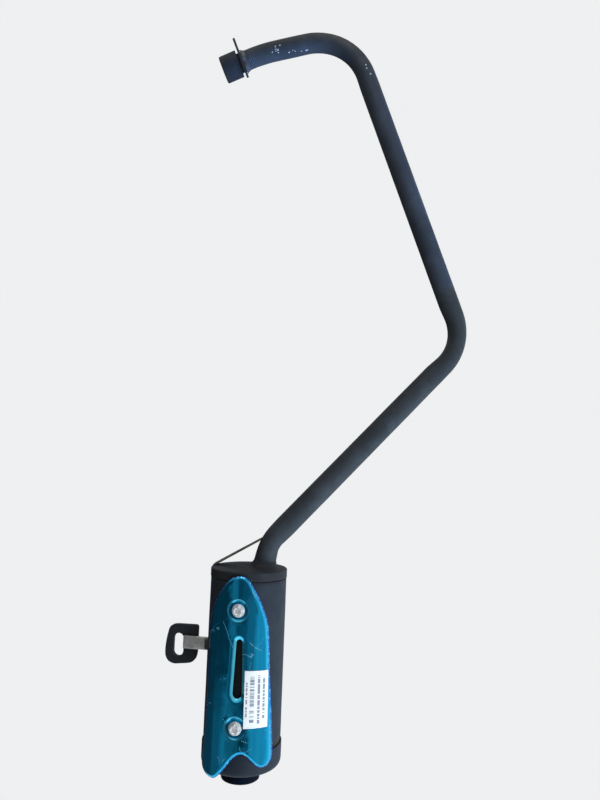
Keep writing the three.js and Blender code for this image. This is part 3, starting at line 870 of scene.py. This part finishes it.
def softened(name, node, width, material):
    """A copy of a flat-sided CAD node with its edges rounded."""
    mesh = frame["nodes"][node].data.copy()
    mesh.name = name
    shape = bmesh.new()
    shape.from_mesh(mesh)
    bmesh.ops.remove_doubles(shape, verts=shape.verts, dist=1e-5)
    bmesh.ops.dissolve_limit(shape, angle_limit=math.radians(1), verts=shape.verts, edges=shape.edges)
    sharp = [e for e in shape.edges if e.is_manifold and e.calc_face_angle() > math.radians(35)]
    bevel = {"offset": width * MM, "segments": 3, "profile": 0.5, "affect": "EDGES", "clamp_overlap": True}
    bmesh.ops.bevel(shape, geom=sharp, **bevel)
    bmesh.ops.triangulate(shape, faces=[f for f in shape.faces if len(f.verts) > 4])
    shape.to_mesh(mesh)
    shape.free()
    mesh.materials.clear()
    mesh.materials.append(material)
    for polygon in mesh.polygons:
        polygon.use_smooth = True
    piece = put(name, mesh)
    keep_sharp(piece, 40)
    return piece


inlet()

# ---------------------------------------------------------------- silencer casing

DOME = [(CAP_R, -13), (42.6, -13.9), (38, -14.7), (26, -15.9), (NEAR_AXIS, -17.5)]


def dented(depth, scale):
    """A shape for lathe: shallow dents in a round wall."""

    def shape(angle, radius, height):
        place = Vector((math.cos(angle) * BODY_R, math.sin(angle) * BODY_R, height)) * scale
        return radius - depth * abs(noise.noise(place)), height

    return shape


def casing():
    cap = rounded(
        [(CAP_R, -4.3), *DOME, (NEAR_AXIS, -16), (26, -14.4), (40.5, -12.4), (41.9, -11.4), (41.9, -4.3)],
        [0.5, 0.8, 1.2, 4, 8, 0, 0, 5, 1, 1, 0],
        steps=8,
    )
    piece = lathe("front_cap_skin", cap, SILENCER, CAP_BLACK, segments=180, shape=dented(0.12, 0.05))
    stands_for(piece, "root", "black_paint", "front_cap")
    hoops, edge = 40, 0.5
    length = SHELL_TO - SHELL_FROM - 2 * edge
    steps = [(BODY_R, SHELL_FROM + edge + k * length / hoops) for k in range(hoops + 1)]
    outside = [(BODY_R - 0.4, SHELL_FROM), *steps, (BODY_R - 0.4, SHELL_TO)]
    shell = [*outside, (BODY_R - SHEET, SHELL_TO), (BODY_R - SHEET, SHELL_FROM)]
    piece = lathe("body_shell_skin", shell, SILENCER, BODY_BLACK, segments=180, shape=dented(0.22, 0.035))
    stands_for(piece, "root", "black_paint", "body_shell")
    low, high, edge, inner = SHELL_TO + GAP, REAR_START - GAP, BODY_R - 0.6, BODY_R - 5
    band = rounded(
        [(edge, low), (edge - 1, (low + high) / 2), (edge, high), (inner, high), (inner, low)],
        [0.4, 1.5, 0.4, 0, 0],
    )
    piece = lathe("crimp_band_ring", band, SILENCER, BAND_STEEL, segments=180)
    stands_for(piece, "root", "bare_steel", "crimp_band")
    rear = rounded(
        [
            (REAR_CAP_R, REAR_START),
            (REAR_CAP_R, REAR_END),
            (TAIL_R + 0.2, REAR_END),
            (TAIL_R + 0.2, REAR_END - SHEET),
            (REAR_CAP_R - SHEET, REAR_END - SHEET),
            (REAR_CAP_R - SHEET, REAR_START + SHEET),
            (inner, REAR_START + SHEET),
            (inner, REAR_START),
        ],
        [0.9, 7.5, 0.4, 0, 6, 0.5, 0, 0],
        steps=10,
    )
    piece = lathe("rear_cap_skin", rear, SILENCER, BLACK, segments=180, shape=dented(0.14, 0.05))
    stands_for(piece, "root", "black_paint", "rear_cap")
    tail = rounded(tube_wall(TAIL_R, TAIL_R - SHEET, TAIL_START, TAIL_END), [0, 0.6, 0.6, 0])
    # The outlet tube wears the near-black painted shade.
    piece = lathe("tail_outlet_tube", tail, SILENCER, OUTLET_SHADE, segments=144, shape=dented(0.08, 0.08))
    stands_for(piece, "root", "black_paint", "tail_outlet")
    bead = rounded(
        [(TAIL_R - 0.3, REAR_END), (25.8, REAR_END), (24, REAR_END + 1.6), (TAIL_R - 0.3, REAR_END + 3.6)],
        [0, 0.8, 2, 0],
    )

    def rippled(angle, radius, height):
        share = max(0.0, (radius - TAIL_R) / 4.5)
        wave = math.sin(46 * angle + 1.5 * math.sin(5 * angle))
        return radius + share * (0.25 * wave - 0.25), height

    piece = lathe("tail_weld_bead", bead, SILENCER, WELD, segments=288, shape=rippled)
    stands_for(piece, "root", "weld", "tail_weld")


def dome_height(radius):
    for (outer, low), (inner, high) in zip(DOME, DOME[1:]):
        if radius >= inner:
            return low + (high - low) * (outer - radius) / (outer - inner)
    return DOME[-1][1]


def neck_weld():
    """A flared bead where the pipe enters the dome, found angle by angle."""
    heading = (NECK_END - NECK_CORNER).normalized()
    over = heading.cross(inboard)
    sections, steps, wall = 220, 8, 1.0
    vertices = []
    for angle in turns(sections):
        spoke = spoke_at(angle, inboard, over)
        side = NECK_CORNER + spoke * PIPE_R
        low, high = 0.0, 60.0
        for _ in range(30):
            t = (low + high) / 2
            point = side + heading * t
            if point.z > dome_height(min(CAP_R, math.hypot(point.x, point.y))):
                high = t
            else:
                low = t
        corner = side + heading * low
        ripple = 0.25 * math.sin(30 * angle + math.sin(4 * angle))
        up_pipe = 6.5 + 0.6 * math.sin(2 * angle + 1) + ripple
        out = corner + spoke * (5.5 + ripple + 0.5 * math.sin(3 * angle))
        reach = min(CAP_R - 2.2, math.hypot(out.x, out.y))
        flat = Vector((out.x, out.y, 0)).normalized() * reach
        foot = Vector((flat.x, flat.y, dome_height(reach)))
        top = corner - heading * up_pipe
        middle = corner - heading * 1.2 + spoke * 1.2
        vertices.extend(curve(top, middle, foot, k / steps) for k in range(steps + 1))
        vertices.append(foot + Vector((0, 0, wall)))
        vertices.append(corner - spoke * wall + Vector((0, 0, wall)))
        vertices.append(top - spoke * wall)
    faces = bridged(sections, len(vertices) // sections)
    piece = make("neck_weld_flare", vertices, faces, SILENCER, CAP_BLACK)
    stands_for(piece, "root", "weld", "neck_weld")


def neck_stay():
    """A flat strip with rounded edges, its foot bent to lie on the cap and its run a little twisted."""
    line = [(41.4, -14.7), (38.2, -16.6), (32, -20.3), (-13.5, -46.9)]
    path = rounded(line, [0, 2.5, 3, 0], closed=False, steps=6)
    section = rounded([(-7, -1), (7, -1), (7, 1), (-7, 1)], [0.8] * 4, steps=3)
    vertices = []
    for i, (up, along) in enumerate(path):
        before, after = path[max(i - 1, 0)], path[min(i + 1, len(path) - 1)]
        heading = Vector((after[0] - before[0], 0, after[1] - before[1])).normalized()
        normal = heading.cross(inboard)
        twist = math.radians(3 + 2 * smooth_step(-10, 34, up))
        for side, lift in section:
            flat = side * math.cos(twist) - lift * math.sin(twist)
            raised = side * math.sin(twist) + lift * math.cos(twist)
            vertices.append(Vector((up, flat, along)) + normal * raised)
    faces = bridged(len(path), len(section), closed=False) + end_faces(len(path), len(section))
    piece = make("neck_stay_strip", vertices, faces, SILENCER, STAY_STEEL)
    keep_sharp(piece, 50)
    stands_for(piece, "root", "bare_steel", "neck_stay")


casing()
neck_weld()
neck_stay()

# ---------------------------------------------------------------- heat shield

# The outline as cubic curves: two guides and an end each, from where the one before it ends.
OUTLINE = [
    ((3, -10.8), (6.5, -9.5), (10, -7)),
    ((14.5, -3), (20, 4.5), (24, 11.5)),
    ((30, 21.5), (33.6, 33), (34, 48)),
    ((34.2, 80), (32.6, 115), (34, 150)),
    ((35, 165), (36.2, 175), (36.8, 188)),
    ((37, 196), (30, 199), (22, 199)),
    ((17.5, 198.9), (13.5, 194), (9, 188.6)),
    ((4, 182.5), (-1.5, 171.3), (-9.5, 171)),
    ((-14.5, 171), (-18, 176), (-23.5, 181.9)),
    ((-30.5, 189.5), (-39.4, 187), (-39.2, 174)),
    ((-38.5, 150), (-36, 115), (-34.2, 88)),
    ((-33.2, 72), (-33.4, 55), (-31.3, 41.5)),
    ((-29.5, 29), (-22, 11), (-14.5, -1)),
    ((-11.5, -5.8), (-8, -10.8), (-2, -10.8)),
]
BOLT_HOLE_R = 3.6


def even_loop(points, spacing):
    """The same closed loop with its points evenly spaced."""
    points = [Vector(p) for p in points]
    lengths = [(points[(i + 1) % len(points)] - p).length for i, p in enumerate(points)]
    total = sum(lengths)
    count = int(total / spacing)
    loop, i, walked = [], 0, 0.0
    for k in range(count):
        target = total * k / count
        while walked + lengths[i] < target:
            walked += lengths[i]
            i += 1
        share = (target - walked) / lengths[i]
        loop.append(points[i].lerp(points[(i + 1) % len(points)], share))
    return loop


def outline_loop():
    points = []
    steps = 40
    start = OUTLINE[-1][-1]
    for first_guide, second_guide, end in OUTLINE:
        corners = (start, first_guide, second_guide, end)
        for k in range(steps):
            t = k / steps
            weights = ((1 - t) ** 3, 3 * t * (1 - t) ** 2, 3 * t * t * (1 - t), t ** 3)
            points.append(tuple(sum(w * p[j] for w, p in zip(weights, corners)) for j in (0, 1)))
        start = end
    return even_loop(points, 1.4)


def slot_loop():
    points = []
    steps = 40
    for (along, radius), first in ((SLOT_FRONT, math.pi), (SLOT_REAR, 0)):
        for k in range(steps + 1):
            angle = first + math.pi * k / steps
            points.append((SLOT_UP + radius * math.cos(angle), along + radius * math.sin(angle)))
    return even_loop(points, 1.0)


def shifted(loop, distance):
    """The loop moved to its left by a distance."""
    moved = []
    for i, point in enumerate(loop):
        heading = (loop[(i + 1) % len(loop)] - loop[i - 1]).normalized()
        moved.append(point + Vector((-heading.y, heading.x)) * distance)
    return moved


def inside(point, loop):
    """Whether a point is inside a loop: a ray from it crosses the loop an odd number of times."""
    odd = False
    for i, end in enumerate(loop):
        start = loop[i - 1]
        if (end.y > point.y) != (start.y > point.y):
            if point.x < (start.x - end.x) * (point.y - end.y) / (start.y - end.y) + end.x:
                odd = not odd
    return odd


def tree_of(loop):
    """A search tree that gives the distance to a loop."""
    dense = even_loop(loop, 0.25)
    tree = KDTree(len(dense))
    for i, point in enumerate(dense):
        tree.insert((point.x, point.y, 0), i)
    tree.balance()
    return tree


def circle(place, radius, count):
    return [Vector(place) + Vector((math.cos(a), math.sin(a))) * radius for a in turns(count)]


def pressed(point, rim, lip, bolt):
    """How far outboard the sheet stands, by its distances from the rim, the slot's lip and the bolts."""
    radius = SHIELD_R - 0.05
    radius -= 1.5 * max(0.0, 1 - rim / 2.8) ** 2
    radius += 0.25 * hump(rim, 4.2, 1.4)
    radius -= 2.3 * max(0.0, 1 - lip / 4.4) ** 1.6
    radius += 0.3 * hump(lip, 5.4, 1.6)
    radius -= 0.18 * abs(noise.noise((point.x * 0.05, point.y * 0.03, 3)))
    radius -= 0.16 * abs(noise.noise((point.x * 0.16, point.y * 0.09, 9))) * smooth_step(20, 0, rim)
    out = math.sqrt(radius * radius - point.x * point.x)
    seat = SEAT_OUT + 0.04
    out = seat + (out - seat) * smooth_step(8.0, 12.4, bolt)
    return out + 0.28 * hump(bolt, 12.6, 1.2)


# Rows of points that follow the rim, the slot and each bolt, by their distance from it.
RIM_ROWS = (0.5, 1.1, 1.8, 2.6, 3.6)
SLOT_ROWS = (0.4, 0.9, 1.6, 2.4, 3.3, 4.3)
BOLT_ROWS = (5, 6.8, 8.2, 9, 9.8, 10.6, 11.4, 12.2, 13.4, 15)


def heat_shield():
    """Fills the outline with points, joins them into triangles and presses them into the shield's shape."""
    outline, slot = outline_loop(), slot_loop()
    rim_tree, slot_tree = tree_of(outline), tree_of(slot)

    def rim_distance(point):
        return rim_tree.find((point.x, point.y, 0))[2]

    def slot_distance(point):
        return slot_tree.find((point.x, point.y, 0))[2]

    def bolt_distance(point):
        return min((point - Vector(place)).length for place in BOLTS.values())

    points, edges = [], []

    def add_loop(loop):
        first = len(points)
        points.extend(loop)
        edges.extend((first + i, first + (i + 1) % len(loop)) for i in range(len(loop)))

    add_loop(outline)
    add_loop(slot)
    holes = [slot]
    for place in BOLTS.values():
        hole = circle(place, BOLT_HOLE_R, 48)
        holes.append(hole)
        add_loop(hole)
    for distance in RIM_ROWS:
        points.extend(p for p in shifted(outline, distance) if rim_distance(p) > distance * 0.9)
    for distance in SLOT_ROWS:
        points.extend(p for p in shifted(slot, -distance) if slot_distance(p) > distance * 0.9)
    for radius in BOLT_ROWS:
        for place in BOLTS.values():
            ring = circle(place, radius, 60)
            points.extend(p for p in ring if inside(p, outline) and rim_distance(p) > 4.2)
    rows = 0
    across_step, along_step = 2.2, 2.0
    along = -8.0
    while along < 200:
        up = -38.4 + (across_step / 2 if rows % 2 else 0)
        while up < 38:
            point = Vector((up, along))
            clear = inside(point, outline) and rim_distance(point) > 4.6 and not inside(point, slot)
            if clear and slot_distance(point) > 5.2 and bolt_distance(point) > 15.8:
                points.append(point)
            up += across_step
        along += along_step
        rows += 1
    flat, _, triangles, *_ = delaunay_2d_cdt(points, edges, [], 0, 1e-4)
    kept = []
    for triangle in triangles:
        centre = sum((flat[i] for i in triangle), Vector((0, 0))) / 3
        if inside(centre, outline) and not any(inside(centre, hole) for hole in holes):
            kept.append(triangle)
    outer, tags = [], []
    for point in flat:
        rim, lip, bolt = rim_distance(point), slot_distance(point), bolt_distance(point)
        out = pressed(point, rim, lip, bolt)
        outer.append(Vector((point.x, -out, point.y)))
        tags.append((rim, lip, bolt))
    shell_of("heat_shield_sheet", outer, kept, tags)


def shell_of(name, outer, triangles, tags):
    """Gives the sheet its thickness and keeps each point's distance from the rim, slot and bolts."""
    used = sorted({i for triangle in triangles for i in triangle})
    index = {old: new for new, old in enumerate(used)}
    front = bmesh.new()
    verts = [front.verts.new(outer[i]) for i in used]
    for triangle in triangles:
        front.faces.new([verts[index[i]] for i in triangle])
    bmesh.ops.recalc_face_normals(front, faces=front.faces)
    front.normal_update()
    sign = -1 if sum(face.normal.y for face in front.faces) > 0 else 1
    back = [v.co - v.normal * sign * SHIELD_THICK for v in verts]
    count = len(verts)
    vertices = [v.co.copy() for v in verts] + back
    faces = []
    for face in front.faces:
        ring = [v.index for v in face.verts]
        faces.append(ring)
        faces.append([i + count for i in reversed(ring)])
    for edge in front.edges:
        if edge.is_boundary:
            a, b = (v.index for v in edge.verts)
            faces.append([a, b, b + count, a + count])
    front.free()
    piece = make(name, vertices, faces, SILENCER, BLUE)
    for column, label in enumerate(("rim", "lip", "bolt")):
        layer = piece.data.attributes.new(label, "FLOAT", "POINT")
        for i, old in enumerate(used):
            layer.data[i].value = layer.data[i + count].value = tags[old][column]
    keep_sharp(piece, 55)
    stands_for(piece, "shield", "blue_mirror", "heat_shield")


heat_shield()


LABEL_TOP = -10.6
LABEL_WIDE = 22.8
LABEL_FROM = 86.2
LABEL_LONG = 58.3


def label_sheet():
    """A thin sticker that follows the shield, its two ends not quite square."""
    columns, rows = 24, 40
    thickness = 0.16
    top, bottom = [], []
    for j in range(rows + 1):
        t = j / rows
        for i in range(columns + 1):
            s = i / columns
            up = LABEL_TOP - 0.6 * t - (LABEL_WIDE + 0.4 * t) * s
            along = LABEL_FROM + LABEL_LONG * t + (0.4 - 0.1 * t) * s
            curl = 0.35 * smooth_step(0.9, 1.0, t) * smooth_step(0.2, 0.0, s)
            ripple = 0.05 * noise.noise((up * 0.2, along * 0.1, 5))
            outer = SHIELD_R + 0.52 + curl + ripple
            for store, radius in ((top, outer), (bottom, outer - thickness)):
                store.append(Vector((up, -math.sqrt(radius * radius - up * up), along)))
    count = len(top)
    width = columns + 1
    faces = []
    for j in range(rows):
        for i in range(columns):
            here = j * width + i
            under = here + count
            faces.append((here, here + 1, here + width + 1, here + width))
            faces.append((under, under + width, under + width + 1, under + 1))
    border = [*range(width), *range(2 * width - 1, count, width)]
    border += [*range(count - 2, count - width - 1, -1), *range(count - 2 * width, 0, -width)]
    for a, b in zip(border, border[1:] + border[:1]):
        faces.append((a, b, b + count, a + count))
    piece = make("label_sheet", top + bottom, faces, SILENCER, LABEL)
    uv = piece.data.uv_layers.new(name="label")
    for loop in piece.data.loops:
        j, i = divmod(loop.vertex_index % count, width)
        uv.data[loop.index].uv = (i / columns, j / rows)
    keep_sharp(piece, 50)
    stands_for(piece, "shield", "label_paper", "label")


label_sheet()

# Creases in the shield's film, each as three places (up, along) of a curve
CREASES = [
    ((33, 53), (23, 37), (5, 31)),
    ((-14, 71), (-21, 63), (-30, 52)),
    ((-14, 57), (-18, 62), (-26, 66)),
    ((-21, 43), (-25, 41), (-28, 39)),
    ((-14, 1), (-15, 8), (-21, 14)),
    ((4, 159), (3, 156), (0, 154)),
    ((16, 175), (12, 177), (13, 183)),
    ((-9, 156), (-12, 158), (-17, 159)),
]


def film_creases():
    """Hair-thin raised lines on the film."""
    vertices, faces = [], []
    for start, middle, end in CREASES:
        first = len(vertices)
        steps = 36
        for k in range(steps + 1):
            t = k / steps
            up, along = curve(Vector(start), Vector(middle), Vector(end), t)
            shake = 0.5 * noise.noise((up * 0.4, along * 0.4, 2))
            width = 0.07 + 0.2 * abs(noise.noise((up * 0.7, along * 0.7, 6)))
            for side, lift in ((-width, 0.02), (0, 0.09), (width, 0.02)):
                high = up + side + shake
                radius = SHIELD_R + lift
                out = math.sqrt(radius * radius - high * high)
                vertices.append(Vector((high, -out, along + side * 0.6)))
        for k in range(steps):
            for j in (0, 1):
                here = first + 3 * k + j
                faces.append((here, here + 1, here + 4, here + 3))
    piece = make("film_creases", vertices, faces, SILENCER, CREASE)
    stands_for(piece, "shield", "blue_mirror")


film_creases()

# ---------------------------------------------------------------- shield fasteners


def facing_outboard(up, along):
    """A frame for a fastener: its z axis points outboard from the silencer's axis."""
    turn = Matrix.Rotation(math.pi / 2, 4, "X")
    return SILENCER @ Matrix.Translation((up, 0, along)) @ turn


def hexagon(across_flats, turn):
    """The radius of a hexagon at each angle."""

    def limit(angle):
        local = (angle + turn + math.pi / 6) % (math.pi / 3) - math.pi / 6
        return across_flats / 2 / math.cos(local)

    return limit


def bolts():
    washer_r, washer_bore, boss_r, boss_bore, shank_r, flange_r = 7, 3.3, 6, 3.25, 2.85, 6.25
    washer_low, washer_high = SEAT_OUT + GAP, SEAT_OUT + GAP + 1
    head = washer_high + GAP
    for end, place in BOLTS.items():
        matrix = facing_outboard(*place)
        wall = tube_wall(washer_r, washer_bore, washer_low, washer_high)
        washer = rounded(wall, [0.3, 0.3, 0.2, 0.2])
        piece = lathe(f"washer_{end}", washer, matrix, ZINC, segments=96)
        stands_for(piece, f"{end}_washer", "zinc", f"shield_washer_{end}")
        profile = rounded(
            [
                (NEAR_AXIS, 38.7),
                (2.2, 38.7),
                (shank_r, 39.6),
                (shank_r, head),
                (flange_r, head),
                (flange_r, head + 1.25),
                (5.5, head + 1.5),
                (6.2, head + 3.7),
                (4.7, head + 4.95),
                (3.3, head + 4.95),
                (2.7, head + 4.2),
                (NEAR_AXIS, head + 4.1),
            ],
            [0, 0.3, 0.3, 0, 0.3, 0.4, 0.3, 0.3, 0.3, 0.2, 0.4, 0],
            steps=5,
        )
        limit = hexagon(10, 0.35 if end == "front" else 0.1)

        def hexed(angle, radius, height):
            if height > head + 1.3:
                radius = min(radius, limit(angle))
            elif radius < 3 and height < head - 0.2:
                radius -= 0.16 * (0.5 + 0.5 * math.sin(height * 2 * math.pi - angle))
            return radius, height

        piece = lathe(f"bolt_{end}", profile, matrix, ZINC, segments=144, shape=hexed)
        keep_sharp(piece, 32)
        stands_for(piece, f"{end}_bolt", "zinc", f"shield_bolt_{end}")
        boss = rounded(tube_wall(boss_r, boss_bore, 38, 44.9), [0.4] * 4)
        piece = lathe(f"boss_{end}", boss, matrix, STEEL, segments=72)
        stands_for(piece, "root", "bare_steel", f"shield_boss_{end}")


bolts()

# ---------------------------------------------------------------- hanger


def hanger():
    piece = softened("hanger_plate_forging", "hanger_plate", 1.0, CAP_BLACK)
    stands_for(piece, "root", "black_paint", "hanger_plate")
    piece = softened("hanger_strap_bar", "hanger_strap", 0.6, STRAP_STEEL)
    stands_for(piece, "root", "bare_steel", "hanger_strap")
    weld_along_strap()


def weld_along_strap():
    """A rippled bead in the corner between the strap's outboard face and the body."""
    length, low = 13, 66.5
    face = -6.3
    steps, across = 60, 10
    vertices = []
    for i in range(steps + 1):
        t = i / steps
        ends = math.sin(math.pi * min(1, t * 8) / 2) * math.sin(math.pi * min(1, (1 - t) * 8) / 2)
        ripple = 0.3 * math.sin(i * 1.35) * ends
        size = 0.2 + 0.8 * ends
        for k in range(across):
            angle = -0.45 + (math.pi / 2 + 0.9) * k / (across - 1)
            reach = (4.4 + ripple) * size
            up = 42.4 + reach * math.cos(angle) * 0.95
            y = face + 0.9 - reach * math.sin(angle)
            vertices.append(Vector((up, y, low + length * t)))
        vertices.append(Vector((40.5, face + 1.2, low + length * t)))
    faces = bridged(steps + 1, across + 1, closed=False) + end_faces(steps + 1, across + 1)
    piece = make("hanger_weld_bead", vertices, faces, SILENCER, WELD)
    stands_for(piece, "root", "weld", "hanger_weld")


hanger()

# ---------------------------------------------------------------- spark arrestor


def cut(piece, blank):
    """Cuts a blank out of a piece, then removes the blank."""
    step = piece.modifiers.new("cut", "BOOLEAN")
    step.operation = "DIFFERENCE"
    step.solver = "EXACT"
    step.object = blank
    bake(piece)
    bpy.data.objects.remove(blank)


def block(name, low, high, matrix):
    corners = [(x, y, z) for x in (low[0], high[0]) for y in (low[1], high[1]) for z in (low[2], high[2])]
    faces = [(0, 1, 3, 2), (4, 6, 7, 5), (0, 4, 5, 1), (2, 3, 7, 6), (0, 2, 6, 4), (1, 5, 7, 3)]
    return make(name, corners, faces, matrix, smooth=False)


def arrestor():
    collar = rounded(tube_wall(19.5, 17.9, 189, 211.5), [0.4] * 4)
    piece = lathe("arrestor_collar_tube", collar, SILENCER, SOOTY_STEEL, segments=144)
    half_slot, slot_end = 2.8, 209.3
    cut(piece, block("slot_blank", (-half_slot, 10, 184), (half_slot, 30, slot_end), SILENCER))
    keep_sharp(piece, 40)
    stands_for(piece, "arrestor", "bare_steel", "arrestor_collar")
    wire_cup()
    screw()


def wire_cup():
    """A cup of crossed wires under a solid rim band."""
    radius, low, high = 16.1, 128.3, 190
    around, along = 60, 36
    vertices = []
    for j in range(along + 1):
        height = low + (high - low) * j / along
        for i in range(around):
            angle = 2 * math.pi * (i + 0.5 * (j % 2)) / around
            vertices.append((radius * math.cos(angle), radius * math.sin(angle), height))
    faces = bridged(along + 1, around, closed=False)
    rings = 8
    for j in range(1, rings + 1):
        shrink = radius * (1 - j / (rings + 1))
        vertices.extend((shrink * math.cos(angle), shrink * math.sin(angle), low) for angle in turns(around))
    first = (along + 1) * around
    for j in range(rings):
        outer = 0 if j == 0 else first + (j - 1) * around
        inner = first + j * around
        for i in range(around):
            k = (i + 1) % around
            faces.append((outer + i, inner + i, inner + k, outer + k))
    faces.append(tuple(first + (rings - 1) * around + i for i in range(around)))
    piece = make("arrestor_wire_cup", vertices, faces, SILENCER, SOOTY_STEEL)
    wires = piece.modifiers.new("wires", "WIREFRAME")
    wires.thickness = 0.55 * MM
    wires.use_replace = True
    wires.use_boundary = True
    bake(piece)
    wall, lip, bore = 16.4, 17.5, 15.5
    rim = rounded(
        [(wall, 186), (wall, 193), (lip, 193), (lip, 195), (bore, 195), (bore, 186)],
        [0.3, 0.2, *[0.3] * 4],
    )
    band = lathe("arrestor_rim_band", rim, SILENCER, SOOTY_STEEL, segments=120)
    stands_for(band, "arrestor", "bare_steel")
    stands_for(piece, "arrestor", "bare_steel", "arrestor_screen")


def screw():
    shank_r, head_r, tip, seat = 2.3, 4.55, 18.6, 21.7
    shank = [(NEAR_AXIS, tip), (shank_r, tip), (shank_r, seat)]
    head = [(head_r, seat), (head_r, 23.2), (2.8, 24.4), (NEAR_AXIS, 24.55)]
    profile = rounded(
        shank + head,
        [0, 0.3, 0, 0.2, 0.8, 1.2, 0],
        steps=5,
    )
    matrix = SILENCER @ Matrix.Translation((0, 0, 206.5)) @ Matrix.Rotation(-math.pi / 2, 4, "X")
    piece = lathe("arrestor_screw_head", profile, matrix, ZINC, segments=72)
    cut(piece, block("driver_blank", (-0.6, -6, 23.3), (0.6, 6, 27), matrix))
    keep_sharp(piece, 40)
    stands_for(piece, "arrestor_screw", "zinc", "arrestor_screw")


arrestor()

# ---------------------------------------------------------------- floor


def floor():
    """A floor that glows as the backdrop does. Lamps stand below it, so it casts no shadow."""
    look = Look("pale_floor")
    dark, pale = (0.02, 0.02, 0.02), (0.025, 0.025, 0.025)
    look.link(look.clouds((3, 2, 0.5), (0.3, 0.7), dark, pale), "Base Color")
    look.set(Roughness=0.9, Specular_IOR_Level=0.0)
    look.set(Emission_Color=(*(c - 0.005 for c in BACKDROP), 1), Emission_Strength=1.0)
    size, drop = 14, 0.16
    level = cad_box[0].z - drop
    corners = [(-size, -size, level), (size, -size, level), (size, size, level), (-size, size, level)]
    mesh = bpy.data.meshes.new("floor")
    mesh.from_pydata(corners, [], [(0, 1, 2, 3)])
    mesh.materials.append(look.material)
    plane = put("floor", mesh)
    plane.visible_glossy = plane.visible_diffuse = plane.visible_shadow = False


floor()

# ---------------------------------------------------------------- the frame's own pieces

CAD_LOOKS = {
    "black_paint": BLACK,
    "weld": WELD,
    "blue_mirror": BLUE,
    "zinc": ZINC,
    "bare_steel": SOOTY_STEEL,
    "label_paper": LABEL,
}
for part in frame["record"]["subparts"]:
    node = frame["nodes"][part["node"]]
    node.data.materials.clear()
    node.data.materials.append(CAD_LOOKS[part["material_slot"]])
